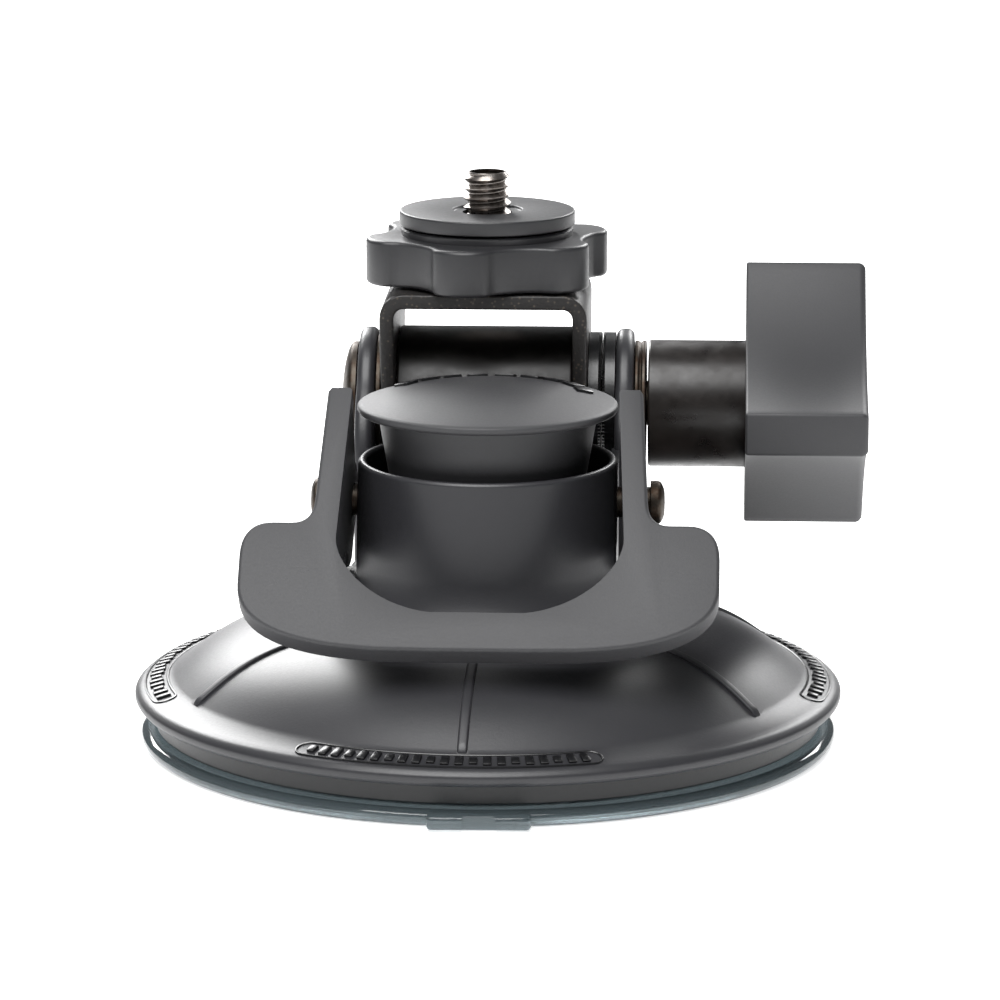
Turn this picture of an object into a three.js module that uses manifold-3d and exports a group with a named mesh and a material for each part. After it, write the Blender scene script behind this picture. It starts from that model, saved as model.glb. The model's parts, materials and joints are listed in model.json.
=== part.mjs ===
// Suction-cup camera mount with a cam lever, a tilting bracket and a camera screw.
// Millimetres, +Z up. The origin is the centre of the membrane's underside, +X points to the tilt knob
// and -Y to the lever's thumb plate.
import * as THREE from 'three';
import { mergeVertices } from 'three/addons/utils/BufferGeometryUtils.js';
import Module from 'manifold-3d';

const wasm = await Module();
wasm.setup();

// ---------------------------------------------------------------- fits and facets
const GAP = 0.3; // between pieces that sit against each other
const RUN = 0.15; // radial play of a pin or shank in its hole
const SLIDE = 0.25; // radial play of the plunger in its guide, and of the pin in its slots
const LARGE = 48; // facets round a large turned piece
const SMALL = 24; // facets round a small one

// ---------------------------------------------------------------- suction cup
const MEMBRANE_R = 45.3;
const MEMBRANE_T = 2.2;
const TAB_W = 12.8; // pull tab on the membrane's edge
const TAB_OUT = 1.6;
const TAB_T = 1.9;
const TAB_WINDOW = 4.3;
const HUB_R = 16; // thick middle of the membrane, which holds the insert
const INSERT_R = 12;
const INSERT_Z = 3.6;
const INSERT_T = 3;

const RIM_R = 46;
const RIM_Z = 6.4; // height of the rim's widest line
const SKIRT_R = 43.4;
const LEDGE_R = 41.4; // inner edge of the sloping ledge above the rim
const LEDGE_Z = 8.4;
const CONE_R = 27.3; // top of the cone
const CONE_Z = 15.2;
const WALL = 2.3;
const RIB_COUNT = 6;
const RIB_W = 1.3;
const RIB_H = 0.3;
const RIB_ROOT = 0.5; // how deep a rib is let into the shell
const RIB_TURN = 28.3; // direction of the first rib, degrees
const GRIP_PADS = [265.5, 8, 174]; // directions of the raised pads on the ledge, degrees
const GRIP_PAD_SPAN = 52;
const GRIP_PAD_H = 0.3;
const GRIP_PAD_ROOT = 0.6;

// ---------------------------------------------------------------- tower on the cup
const TOWER_R = 16.75; // at its open top
const TOWER_FOOT_R = 17.5;
const TOWER_FOOT_Z = 24;
const TOWER_TOP = 36.95;
const TOWER_BORE_R = 15.7;
const FLOOR_Z = 22.4; // top of the floor inside the tower
const FLOOR_T = 3;
const GUIDE_R = 6; // column of the plunger, which slides in the floor
const GUIDE_Z = 15; // bottom of the guide tube under the floor
const GUIDE_WALL = 2.2;
const CAM_PAD_Y = [-7.5, 0.6]; // pads beside the tower that the cams press on
const CAM_PAD_W = 4.2;
const WEB_Y = [5, 14]; // webs between the tower and the ears

// ---------------------------------------------------------------- plunger and push cap
const TRAVEL = 3.5; // how far the plunger drops as the lever opens
const PIN_Z = 31.2;
const PIN_R = 2;
const PIN_HEAD_R = 2.8;
const PIN_HEAD_T = 1.9;
const CAP_R = 16.85;
const CAP_Z = 43.1; // underside of the cap's flange
const CAP_EDGE = 1.1;
const CAP_TOP = 46.5;
const CAP_NECK_R = 14.2;
const CAP_FOOT_R = 12.6;
const CAP_FOOT_Z = 33.7;
const STUD_R = 4.5; // top of the column, inside the cap
const SPRING_R = 9.8;
const SPRING_WIRE = 1.4;
const SPRING_TURNS = 4.5;

// ---------------------------------------------------------------- lever
const LEVER_Y = -33; // lower front edge of the thumb plate
const LEVER_Z = 19.8;
const LEVER_SLOPE = 45; // degrees
const LEVER_LEN = 38.6;
const LEVER_T = 3.4;
const LEVER_EDGE = 0.9; // rounding of its edges
const WING_W = 29.1; // half the thumb plate
const WING_LEN = 18.3;
const BOW_DEPTH = 5.1; // thumb plate below the open bow
const ARM_IN = 17.05; // half the opening between the arms, at their tops
const ARM_T = 3.1;
const ARM_DEPTH = 4.6;
const ARM_SPLAY = 0.05; // how much wider each arm stands for each mm down
const BOSS_R = 5;
const CAM_LIFT = 4.04; // offset of the cam's round from the pin
const CAM_TURN = 30; // degrees in front of straight down
const CAM_GAP = 0.4;

// ---------------------------------------------------------------- tilt joint
const TILT_Y = 28;
const TILT_Z = 38.8;
const EYE_R = 10;
const EAR_IN = 16; // half the space between the ears
const EAR_T = 2.4;
const EAR_FRONT = 12.5;
const EAR_FOOT_Z = 16.4; // inside the dome under the ear's front edge
const BOLT_R = 3;
const BOLT_HEAD_R = 8;
const BOLT_HEAD_T = 2.2;
const BOLT_END = 42;
const SHEET = 1.9; // bracket's steel sheet
const LEG_LEFT = -15.1; // outer face of the bracket's left leg
const LEG_RIGHT = 12.3;
const LEG_END_R = 9.5;
const BRACKET_TOP = 55.4;
const BRACKET_DEPTH = 25;
const BARREL_R = 10.2;
const TOOTH_R = 9.5;
const TOOTH_H = 0.4;
const TOOTH_COUNT = 60;
const COLLAR_R = 8.4;
const COLLAR_T = 1.5;
const SLEEVE_R = 8.5;
const SLEEVE_LEN = 13;
const SLEEVE_SEAT = 2.6; // how deep the sleeve sits in the knob
const BUSH_R = 4.8;
const KNOB_R = 19.3;
const KNOB_W = 16.1;
const KNOB_TIP = 2.8; // half the flat on each lobe
const KNOB_WAIST = 9.4;
const KNOB_LOBES = 3;
const KNOB_TURN = -179; // direction of the first lobe, degrees from +Y towards +Z
const KNOB_SOFT = 0.5;

// ---------------------------------------------------------------- camera seat
const SEAT_X = (LEG_LEFT + LEG_RIGHT) / 2;
const SCREW_R = 3.175; // 1/4 inch camera thread
const SCREW_TOP = 70.1;
const SCREW_FOOT_R = 4.8;
const SCREW_FOOT_T = 0.8;
const STAR_R = 16.6;
const STAR_VALLEY = 13.4;
const STAR_LOBES = 6;
const STAR_TURN = 19;
const STAR_H = 6.1;
const STAR_SOFT = 0.9;
const STAR_BOSS_R = 11.5;
const STAR_BOSS_H = 1;
const NUT_R = 5.6; // threaded insert moulded in the star ring
const PAD_R = 11.75;
const PAD_T = 1.9;

// ---------------------------------------------------------------- finishes
const finish = (color, roughness, metalness = 0) =>
  new THREE.MeshStandardMaterial({ color, roughness, metalness });
const SHELL_PLASTIC = finish(0x55555a, 0.4);
const LEVER_PLASTIC = finish(0x666669, 0.55);
const CLEAR_VINYL = finish(0xb9c6c8, 0.15);
const BLACK_COAT = finish(0x2b2928, 0.6);
const BLACK_PLASTIC = finish(0x1b1a1a, 0.25);
const STEEL = finish(0x8d8a86, 0.35, 1);
const WORN_STEEL = finish(0x6f6459, 0.5, 1);
const BRASS = finish(0xb08d4a, 0.35, 1);

// ---------------------------------------------------------------- shape helpers

// A geometry as a manifold-3d solid, with shared corners merged and flat slivers dropped.
function solid(geometry) {
  const bare = geometry.clone();
  bare.deleteAttribute('normal');
  bare.deleteAttribute('uv');
  const merged = mergeVertices(bare, 1e-4);
  const corners = [];
  for (let i = 0; i < merged.index.count; i += 3) {
    const [a, b, c] = [0, 1, 2].map((k) => merged.index.getX(i + k));
    if (a !== b && b !== c && c !== a) corners.push(a, b, c);
  }
  const mesh = new wasm.Mesh({
    numProp: 3,
    vertProperties: merged.attributes.position.array,
    triVerts: new Uint32Array(corners),
  });
  return new wasm.Manifold(mesh);
}

function geometryOf(manifold) {
  const mesh = manifold.getMesh();
  const geometry = new THREE.BufferGeometry();
  geometry.setAttribute('position', new THREE.BufferAttribute(new Float32Array(mesh.vertProperties), 3));
  geometry.setIndex(new THREE.BufferAttribute(new Uint32Array(mesh.triVerts), 1));
  return geometry;
}

const join = (...parts) => geometryOf(parts.map(solid).reduce((whole, next) => whole.add(next)));
const cut = (body, ...tools) =>
  geometryOf(tools.map(solid).reduce((whole, tool) => whole.subtract(tool), solid(body)));
const common = (a, b) => geometryOf(solid(a).intersect(solid(b)));

// A piece turned about +Z from its (radius, height) outline, listed anticlockwise. An outline that stays
// off the axis closes on itself.
function turned(outline, facets = LARGE) {
  const points = outline.map(([r, z]) => new THREE.Vector2(r, z));
  const onAxis = outline[0][0] === 0 && outline.at(-1)[0] === 0;
  if (!onAxis) points.push(points[0].clone());
  return new THREE.LatheGeometry(points, facets).rotateX(Math.PI / 2);
}

const disc = (r, z0, z1, facets = SMALL) => turned([[0, z0], [r, z0], [r, z1], [0, z1]], facets);
const ring = (r, bore, z0, z1, facets = SMALL) => turned([[bore, z0], [r, z0], [r, z1], [bore, z1]], facets);

// Moves a piece made about +Z so that it lies along +X at the tilt axis or the pin.
const alongX = (geometry, y, z) => geometry.rotateY(Math.PI / 2).rotateX(Math.PI / 2).translate(0, y, z);
const onTilt = (geometry) => alongX(geometry, TILT_Y, TILT_Z);
const onPin = (geometry) => alongX(geometry, 0, PIN_Z);

const box = (x0, x1, y0, y1, z0, z1) =>
  new THREE.BoxGeometry(x1 - x0, y1 - y0, z1 - z0).translate((x0 + x1) / 2, (y0 + y1) / 2, (z0 + z1) / 2);

// A flat outline pushed along its own Z from z0 to z1, with softened edges when soft is given.
function slab(shape, z0, z1, soft = 0, curveSegments = 10) {
  const options = { depth: z1 - z0 - 2 * soft, bevelEnabled: soft > 0, curveSegments };
  if (soft > 0) {
    Object.assign(options, { bevelSize: soft, bevelThickness: soft, bevelOffset: -soft, bevelSegments: 1 });
  }
  return new THREE.ExtrudeGeometry(shape, options).translate(0, 0, z0 + soft);
}

// A slab whose outline is drawn in Y and Z, standing from x0 to x1.
function sideSlab(shape, x0, x1, soft = 0, curveSegments = 10) {
  const turn = new THREE.Matrix4().makeBasis(
    new THREE.Vector3(0, 1, 0),
    new THREE.Vector3(0, 0, 1),
    new THREE.Vector3(1, 0, 0),
  );
  return slab(shape, x0, x1, soft, curveSegments).applyMatrix4(turn);
}

const polygon = (points) => new THREE.Shape(points.map(([x, y]) => new THREE.Vector2(x, y)));
const radians = (degrees) => (degrees * Math.PI) / 180;
const polar = (r, degrees) => [r * Math.cos(radians(degrees)), r * Math.sin(radians(degrees))];

// A copy on the other side of the YZ plane, its triangles turned back to face out.
const mirrored = (geometry) => {
  const flipped = geometry.clone().scale(-1, 1, 1);
  const flat = flipped.index ? flipped.toNonIndexed() : flipped;
  const p = flat.attributes.position;
  for (let i = 0; i < p.count; i += 3) {
    const [a, b] = [i + 1, i + 2].map((k) => new THREE.Vector3().fromBufferAttribute(p, k));
    p.setXYZ(i + 1, b.x, b.y, b.z);
    p.setXYZ(i + 2, a.x, a.y, a.z);
  }
  return flat;
};

// ---------------------------------------------------------------- cup shell

// Outside of the shell from the rim's upper edge to the foot of the tower: a flat ledge, then a low dome.
const CONE_OUTLINE = [
  [RIM_R - 0.7, RIM_Z + 0.9],
  [RIM_R - 1.5, RIM_Z + 1.2],
  [LEDGE_R, LEDGE_Z],
  [LEDGE_R - 2.4, LEDGE_Z + 1.7],
  [LEDGE_R - 5.2, LEDGE_Z + 3.8],
  [LEDGE_R - 7.8, LEDGE_Z + 5],
  [LEDGE_R - 11, LEDGE_Z + 6.1],
  [CONE_R, CONE_Z],
  [CONE_R - 3.8, CONE_Z + 1.2],
  [TOWER_FOOT_R + 3, CONE_Z + 2.8],
  [TOWER_FOOT_R + 0.9, CONE_Z + 5.2],
  [TOWER_FOOT_R, TOWER_FOOT_Z],
];
const WALL_DROP = WALL * 1.15; // the wall measured straight down through the dome

function shellBody() {
  const skirtIn = SKIRT_R - WALL;
  const underDome = CONE_OUTLINE.slice(3, 8).reverse().map(([r, z]) => [r - 1, z - WALL_DROP]);
  return turned([
    [skirtIn, MEMBRANE_T + GAP],
    [SKIRT_R, MEMBRANE_T + GAP],
    [SKIRT_R, RIM_Z - 1.2],
    [RIM_R - 0.6, RIM_Z - 1.1],
    [RIM_R, RIM_Z - 0.5],
    [RIM_R, RIM_Z + 0.3],
    ...CONE_OUTLINE,
    [TOWER_R, TOWER_TOP - 0.4],
    [TOWER_R - 0.4, TOWER_TOP],
    [TOWER_BORE_R, TOWER_TOP],
    [TOWER_BORE_R, FLOOR_Z],
    [GUIDE_R + SLIDE, FLOOR_Z],
    [GUIDE_R + SLIDE, GUIDE_Z],
    [GUIDE_R + GUIDE_WALL, GUIDE_Z],
    [GUIDE_R + GUIDE_WALL, FLOOR_Z - FLOOR_T],
    [TOWER_FOOT_R - WALL, FLOOR_Z - FLOOR_T],
    [TOWER_FOOT_R - 0.5, CONE_Z + 0.5],
    ...underDome,
    [skirtIn, RIM_Z],
  ]);
}

// One radial rib: a thin plate that stands RIB_H proud of the cone, pointing along +X before it is turned.
function rib() {
  const onDome = CONE_OUTLINE.slice(2, 10);
  const top = onDome.map(([r, z]) => [r + RIB_H / 2, z + RIB_H]);
  const bottom = onDome.reverse().map(([r, z]) => [r - RIB_ROOT, z - RIB_ROOT]);
  return slab(polygon([...top, ...bottom]), -RIB_W / 2, RIB_W / 2).rotateX(Math.PI / 2);
}

// A raised pad that follows the ledge through GRIP_PAD_SPAN degrees, for grip.
function gripPad(direction) {
  const [inner, outer] = [LEDGE_R + 0.3, RIM_R - 1.7];
  const slope = (LEDGE_Z - RIM_Z - 1.2) / (RIM_R - 1.5 - LEDGE_R);
  const ledge = (r, lift) => [r, LEDGE_Z + (LEDGE_R - r) * slope + lift];
  const band = turned([
    ledge(inner, -GRIP_PAD_ROOT),
    ledge(outer, -GRIP_PAD_ROOT),
    ledge(outer, GRIP_PAD_H),
    ledge(inner, GRIP_PAD_H),
  ]);
  const half = GRIP_PAD_SPAN / 2;
  const reach = RIM_R * 1.2; // clear of the rim at the middle of the wedge
  const rays = [-half, 0, half].map((turn) => polar(reach, direction + turn));
  return common(band, slab(polygon([[0, 0], ...rays]), 0, LEDGE_Z + 2));
}

// One ear of the tilt joint, from its round eye down to the dome, drawn in Y and Z.
function earShape() {
  const shape = new THREE.Shape();
  shape.moveTo(EAR_FRONT, EAR_FOOT_Z);
  shape.lineTo(EAR_FRONT, TILT_Z - 5);
  const [sy, sz] = polar(EYE_R, 150);
  shape.quadraticCurveTo(EAR_FRONT + 1.5, TILT_Z + 1, TILT_Y + sy, TILT_Z + sz);
  shape.absarc(TILT_Y, TILT_Z, EYE_R, radians(150), radians(-20), true);
  shape.lineTo(TILT_Y + 3, EAR_FOOT_Z - 5.2);
  return shape;
}

function shell() {
  const camPadZ = PIN_Z - camReach() - CAM_GAP;
  const clearIn = ARM_IN - GAP;
  const clearOut = ARM_IN + ARM_T + 2.2;
  const ribTurn = (i) => radians(RIB_TURN + (i * 360) / RIB_COUNT);
  const ribs = Array.from({ length: RIB_COUNT }, (_, i) => rib().rotateZ(ribTurn(i)));
  const added = [
    sideSlab(earShape(), EAR_IN, EAR_IN + EAR_T, 0.5),
    box(TOWER_BORE_R, ARM_IN - GAP, ...WEB_Y, EAR_FOOT_Z, TOWER_TOP - 1.6),
    box(TOWER_R - 1, TOWER_R + CAM_PAD_W, ...CAM_PAD_Y, CONE_Z + 1, camPadZ + 1),
  ];
  const pinSlot = PIN_R + SLIDE;
  const cleared = [
    box(clearIn, clearOut, -BOSS_R - 4, BOSS_R + 1.5, camPadZ, TOWER_TOP + 2),
    box(TOWER_BORE_R - 2, TOWER_FOOT_R + 2, -pinSlot, pinSlot, PIN_Z - TRAVEL - pinSlot, PIN_Z + pinSlot),
  ];
  return cut(
    join(shellBody(), ...ribs, ...GRIP_PADS.map(gripPad), ...added, ...added.map(mirrored)),
    disc(TOWER_BORE_R, FLOOR_Z, TOWER_TOP + 2, LARGE),
    ...cleared,
    ...cleared.map(mirrored),
    onTilt(disc(BOLT_R + RUN, -EAR_IN - 4, EAR_IN + 4)),
  );
}

// ---------------------------------------------------------------- membrane, insert and spring

function membrane() {
  const soft = 0.8;
  const plate = turned([
    [0, 0],
    [MEMBRANE_R - soft, 0],
    [MEMBRANE_R - 0.3, 0.4],
    [MEMBRANE_R, soft],
    [MEMBRANE_R, MEMBRANE_T - soft],
    [MEMBRANE_R - 0.3, MEMBRANE_T - 0.4],
    [MEMBRANE_R - soft, MEMBRANE_T],
    [HUB_R + 4, MEMBRANE_T],
    [HUB_R, INSERT_Z + INSERT_T],
    [INSERT_R + GAP, INSERT_Z + INSERT_T],
    [INSERT_R + GAP, INSERT_Z - GAP],
    [0, INSERT_Z - GAP],
  ]);
  const tab = box(-TAB_W / 2, TAB_W / 2, -MEMBRANE_R - TAB_OUT, -MEMBRANE_R + 2, 0.3, TAB_T);
  const window = box(-TAB_WINDOW / 2, TAB_WINDOW / 2, -MEMBRANE_R - TAB_OUT + 0.7, -MEMBRANE_R + 0.5, 1, 6);
  return cut(join(plate, tab), window);
}

const insert = () => turned([
  [STUD_R - 1 + RUN, INSERT_Z],
  [INSERT_R, INSERT_Z],
  [INSERT_R, INSERT_Z + INSERT_T - 0.6],
  [GUIDE_R + 2, INSERT_Z + INSERT_T],
  [STUD_R - 1 + RUN, INSERT_Z + INSERT_T],
], 48);

// A coil spring between the insert and the floor, its wire swept along a helix.
function spring() {
  const low = INSERT_Z + INSERT_T + GAP + SPRING_WIRE / 2;
  const high = FLOOR_Z - FLOOR_T - GAP - SPRING_WIRE / 2;
  class Helix extends THREE.Curve {
    getPoint(t, target = new THREE.Vector3()) {
      const angle = 2 * Math.PI * SPRING_TURNS * t;
      const rise = low + (high - low) * t;
      return target.set(SPRING_R * Math.cos(angle), SPRING_R * Math.sin(angle), rise);
    }
  }
  const wire = new THREE.Shape();
  wire.absarc(0, 0, SPRING_WIRE / 2, 0, 2 * Math.PI);
  return new THREE.ExtrudeGeometry(wire, {
    extrudePath: new Helix(),
    steps: Math.round(SPRING_TURNS * 16),
    curveSegments: 3,
  });
}

// ---------------------------------------------------------------- plunger, cap and pin

function plunger() {
  const column = turned([
    [0, INSERT_Z + 0.2],
    [STUD_R - 1, INSERT_Z + 0.2],
    [STUD_R - 1, INSERT_Z + INSERT_T + GAP],
    [GUIDE_R, INSERT_Z + INSERT_T + GAP],
    [GUIDE_R, CAP_FOOT_Z - GAP],
    [STUD_R, CAP_FOOT_Z - GAP],
    [STUD_R, CAP_Z],
    [STUD_R - 0.8, CAP_Z + 0.8],
    [0, CAP_Z + 0.8],
  ], SMALL);
  return cut(column, onPin(disc(PIN_R + RUN, -GUIDE_R - 2, GUIDE_R + 2)));
}

// The domed cap on the plunger, with a socket for the column's stud. Its top is part of a ball.
function pushCap() {
  const domeR = CAP_R - 0.2;
  const rise = CAP_TOP - CAP_Z - CAP_EDGE;
  const ballR = (domeR * domeR + rise * rise) / (2 * rise);
  const dome = [1, 0.8, 0.6, 0.4, 0.2].map((share) => {
    const r = domeR * share;
    return [r, CAP_TOP - ballR + Math.sqrt(ballR * ballR - r * r)];
  });
  const socketTop = CAP_Z + 1.2;
  return turned([
    [STUD_R + RUN, CAP_FOOT_Z],
    [CAP_FOOT_R, CAP_FOOT_Z],
    [CAP_NECK_R, CAP_Z],
    [CAP_R - 0.5, CAP_Z],
    [CAP_R, CAP_Z + 0.4],
    ...dome,
    [0, CAP_TOP],
    [0, socketTop],
    [STUD_R + RUN, socketTop],
  ]);
}

const ARM_OUT = ARM_IN + ARM_T + ARM_SPLAY * 12; // outside of an arm at the pin
const PIN_SEAT = ARM_OUT + GAP;
const PIN_END = PIN_SEAT + PIN_HEAD_T;

const pin = () => onPin(join(
  disc(PIN_R, -PIN_SEAT, ARM_OUT + 1.2),
  turned([
    [0, -PIN_END],
    [PIN_HEAD_R - 0.7, -PIN_END],
    [PIN_HEAD_R, -PIN_END + 0.6],
    [PIN_HEAD_R, -PIN_SEAT],
    [0, -PIN_SEAT],
  ], SMALL),
));

const pinCap = () => onPin(turned([
  [PIN_R + RUN, PIN_SEAT],
  [PIN_HEAD_R, PIN_SEAT],
  [PIN_HEAD_R, PIN_END - 0.6],
  [PIN_HEAD_R - 0.7, PIN_END],
  [0, PIN_END],
  [0, PIN_SEAT + 1.2],
  [PIN_R + RUN, PIN_SEAT + 1.2],
], SMALL));

// ---------------------------------------------------------------- lever

// How far the cam reaches straight down from the pin when the lever is closed.
function camReach() {
  return BOSS_R + CAM_LIFT * Math.cos(radians(CAM_TURN));
}

// The lever is drawn on its sloping front face: x across, y up the slope, z out of the face.
function leverFrame() {
  const [c, s] = polar(1, LEVER_SLOPE);
  const up = new THREE.Vector3(0, c, s);
  const out = new THREE.Vector3(0, -s, c);
  return new THREE.Matrix4()
    .makeBasis(new THREE.Vector3(1, 0, 0), up, out)
    .setPosition(0, LEVER_Y, LEVER_Z);
}

// The lever's face. Its right half is drawn from the middle of the lower edge round to the middle of the bow,
// and its left half is the same points walked backwards.
function leverFace() {
  const armEdge = ARM_IN + ARM_T;
  const [w, h, top] = [WING_W, WING_LEN, LEVER_LEN];
  const shape = new THREE.Shape();
  shape.moveTo(0, -0.5);
  shape.lineTo(12, -0.35);
  shape.bezierCurveTo(23, 0.4, w, 3.3, w, h / 2);
  shape.lineTo(w, h - 5);
  shape.bezierCurveTo(w, h - 1.4, w - 1.6, h, w - 4, h);
  shape.lineTo(armEdge + 2.6, h);
  shape.bezierCurveTo(armEdge + 1, h, armEdge, h + 1, armEdge, h + 3.4);
  shape.lineTo(armEdge, top - 1);
  shape.lineTo(armEdge - 0.4, top - 0.3);
  shape.lineTo(armEdge - 1, top);
  shape.lineTo(ARM_IN + 0.7, top);
  shape.lineTo(ARM_IN, top - 0.7);
  shape.lineTo(ARM_IN, h - 2.3);
  shape.bezierCurveTo(ARM_IN, BOW_DEPTH + 6.8, ARM_IN - 4.6, BOW_DEPTH + 0.6, ARM_IN - 11.2, BOW_DEPTH);
  const right = shape.getPoints(6);
  const left = right.slice(1).reverse().map((point) => new THREE.Vector2(-point.x, point.y));
  return new THREE.Shape([...right, ...left]);
}

// One cheek behind an arm, from its face back to the pin boss and the cam, drawn up the slope and back.
function leverCheek() {
  const inFace = (y, z) => {
    const p = new THREE.Vector3(0, y, z).applyMatrix4(leverFrame().invert());
    return [p.y, p.z];
  };
  const [bossY, bossZ] = inFace(0, PIN_Z);
  const [camDrop, camFront] = polar(CAM_LIFT, CAM_TURN);
  const [camY, camZ] = inFace(-camFront, PIN_Z - camDrop);
  const [bossUp, bossBack] = polar(BOSS_R, 35);
  const shape = new THREE.Shape();
  shape.moveTo(WING_LEN - 5, -0.4);
  shape.lineTo(LEVER_LEN - 1, -0.4);
  shape.lineTo(LEVER_LEN, -1.4);
  shape.lineTo(LEVER_LEN, -ARM_DEPTH + 1);
  shape.lineTo(LEVER_LEN - 1, -ARM_DEPTH);
  shape.lineTo(bossY + bossUp, bossZ + bossBack);
  shape.absarc(bossY, bossZ, BOSS_R, radians(35), radians(-105), true);
  shape.absarc(camY, camZ, BOSS_R, radians(-105), radians(-200), true);
  shape.quadraticCurveTo(WING_LEN - 2, -10, WING_LEN - 5, -LEVER_T);
  return shape;
}

function lever() {
  // The cheek is drawn in (slope, depth) and stands across X.
  const toFace = new THREE.Matrix4().makeBasis(
    new THREE.Vector3(0, 1, 0),
    new THREE.Vector3(0, 0, 1),
    new THREE.Vector3(1, 0, 0),
  );
  const cheek = slab(leverCheek(), ARM_IN, ARM_IN + ARM_T, 0.4, 8).applyMatrix4(toFace);
  const face = slab(leverFace(), -LEVER_T, 0, LEVER_EDGE);
  const straight = join(face, cheek, mirrored(cheek));
  const p = straight.attributes.position;
  for (let i = 0; i < p.count; i += 1) {
    const wide = ARM_SPLAY * Math.min(LEVER_LEN - p.getY(i), LEVER_LEN - WING_LEN);
    const along = Math.min(1, Math.max(0, (Math.abs(p.getX(i)) - ARM_IN / 2) / (ARM_IN / 2)));
    p.setX(i, p.getX(i) + Math.sign(p.getX(i)) * wide * along);
  }
  return cut(straight.applyMatrix4(leverFrame()), onPin(disc(PIN_R + RUN, -ARM_OUT - 3, ARM_OUT + 3)));
}

// ---------------------------------------------------------------- tilt joint

const BOLT_SEAT = -EAR_IN - EAR_T - GAP; // underside of the bolt's head
const bolt = () => onTilt(turned([
  [0, BOLT_SEAT - BOLT_HEAD_T],
  [BOLT_HEAD_R - 4, BOLT_SEAT - BOLT_HEAD_T + 0.2],
  [BOLT_HEAD_R - 1.5, BOLT_SEAT - BOLT_HEAD_T + 1],
  [BOLT_HEAD_R, BOLT_SEAT - 0.5],
  [BOLT_HEAD_R, BOLT_SEAT],
  [BOLT_R, BOLT_SEAT],
  [BOLT_R, BOLT_END - 0.8],
  [BOLT_R - 0.8, BOLT_END],
  [0, BOLT_END],
], SMALL));

const HOLE_R = BOLT_R + RUN;
const frictionWasher = () => onTilt(ring(TOOTH_R, HOLE_R, -EAR_IN + 0.1, LEG_LEFT - 0.2, 40));
const barrel = () => onTilt(turned([
  [HOLE_R, LEG_LEFT + SHEET + 0.1],
  [BARREL_R, LEG_LEFT + SHEET + 0.1],
  [BARREL_R, LEG_RIGHT - SHEET - 0.1],
  [HOLE_R, LEG_RIGHT - SHEET - 0.1],
], 56));

// The bracket: a top plate with two legs folded down past the tilt axis.
function bracket() {
  const bend = 3.2;
  const [left, right, top] = [LEG_LEFT, LEG_RIGHT, BRACKET_TOP];
  const foot = TILT_Z - LEG_END_R - 2;
  const section = new THREE.Shape();
  section.moveTo(left, foot);
  section.lineTo(left + SHEET, foot);
  section.lineTo(left + SHEET, top - bend);
  section.absarc(left + bend, top - bend, bend - SHEET, Math.PI, Math.PI / 2, true);
  section.lineTo(right - bend, top - SHEET);
  section.absarc(right - bend, top - bend, bend - SHEET, Math.PI / 2, 0, true);
  section.lineTo(right - SHEET, foot);
  section.lineTo(right, foot);
  section.lineTo(right, top - bend);
  section.absarc(right - bend, top - bend, bend, 0, Math.PI / 2, false);
  section.lineTo(left + bend, top);
  section.absarc(left + bend, top - bend, bend, Math.PI / 2, Math.PI, false);
  const half = BRACKET_DEPTH / 2;
  const folded = slab(section, -half, half, 0, 5).rotateX(Math.PI / 2).translate(0, TILT_Y, 0);
  const side = new THREE.Shape();
  side.moveTo(TILT_Y - half, top + 1);
  side.lineTo(TILT_Y - half, top - 5);
  side.lineTo(TILT_Y - LEG_END_R, TILT_Z);
  side.absarc(TILT_Y, TILT_Z, LEG_END_R, Math.PI, 2 * Math.PI, false);
  side.lineTo(TILT_Y + half, top - 5);
  side.lineTo(TILT_Y + half, top + 1);
  return cut(
    common(folded, sideSlab(side, left - 1, right + 1)),
    onTilt(disc(HOLE_R, left - 2, right + 2)),
    disc(SCREW_R + 0.25, 0, 5).translate(SEAT_X, TILT_Y, top - 3),
    disc(SCREW_FOOT_R + 0.25, -1, SCREW_FOOT_T + 0.3).translate(SEAT_X, TILT_Y, top - SHEET),
  );
}

// A locking washer whose rim is toothed.
function toothWasher(x0, x1) {
  const rim = Array.from({ length: 2 * TOOTH_COUNT }, (_, i) =>
    polar(i % 2 ? TOOTH_R : TOOTH_R - TOOTH_H, (i * 180) / TOOTH_COUNT));
  return onTilt(cut(slab(polygon(rim), x0, x1), disc(HOLE_R, x0 - 1, x1 + 1)));
}

const TEETH_SPACE = EAR_IN - LEG_RIGHT; // between the right leg and the right ear
const innerTeeth = () => toothWasher(LEG_RIGHT + 0.1, LEG_RIGHT + TEETH_SPACE / 2 - 0.1);
const outerTeeth = () => toothWasher(LEG_RIGHT + TEETH_SPACE / 2 + 0.1, EAR_IN - 0.1);

const COLLAR_X = EAR_IN + EAR_T + 0.1;
const SLEEVE_X = COLLAR_X + COLLAR_T + GAP;
const KNOB_X = SLEEVE_X + SLEEVE_LEN;
const BUSH_END = KNOB_X + KNOB_W - 3.4; // its far end, inside the knob
const thrustCollar = () => onTilt(ring(COLLAR_R, HOLE_R, COLLAR_X, COLLAR_X + COLLAR_T, 48));
const sleeve = () => onTilt(ring(SLEEVE_R, BUSH_R + GAP, SLEEVE_X, KNOB_X + SLEEVE_SEAT, 56));
const bush = () => onTilt(turned([
  [HOLE_R, SLEEVE_X + 1],
  [BUSH_R, SLEEVE_X + 1],
  [BUSH_R, BUSH_END],
  [HOLE_R, BUSH_END],
], SMALL));

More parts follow.
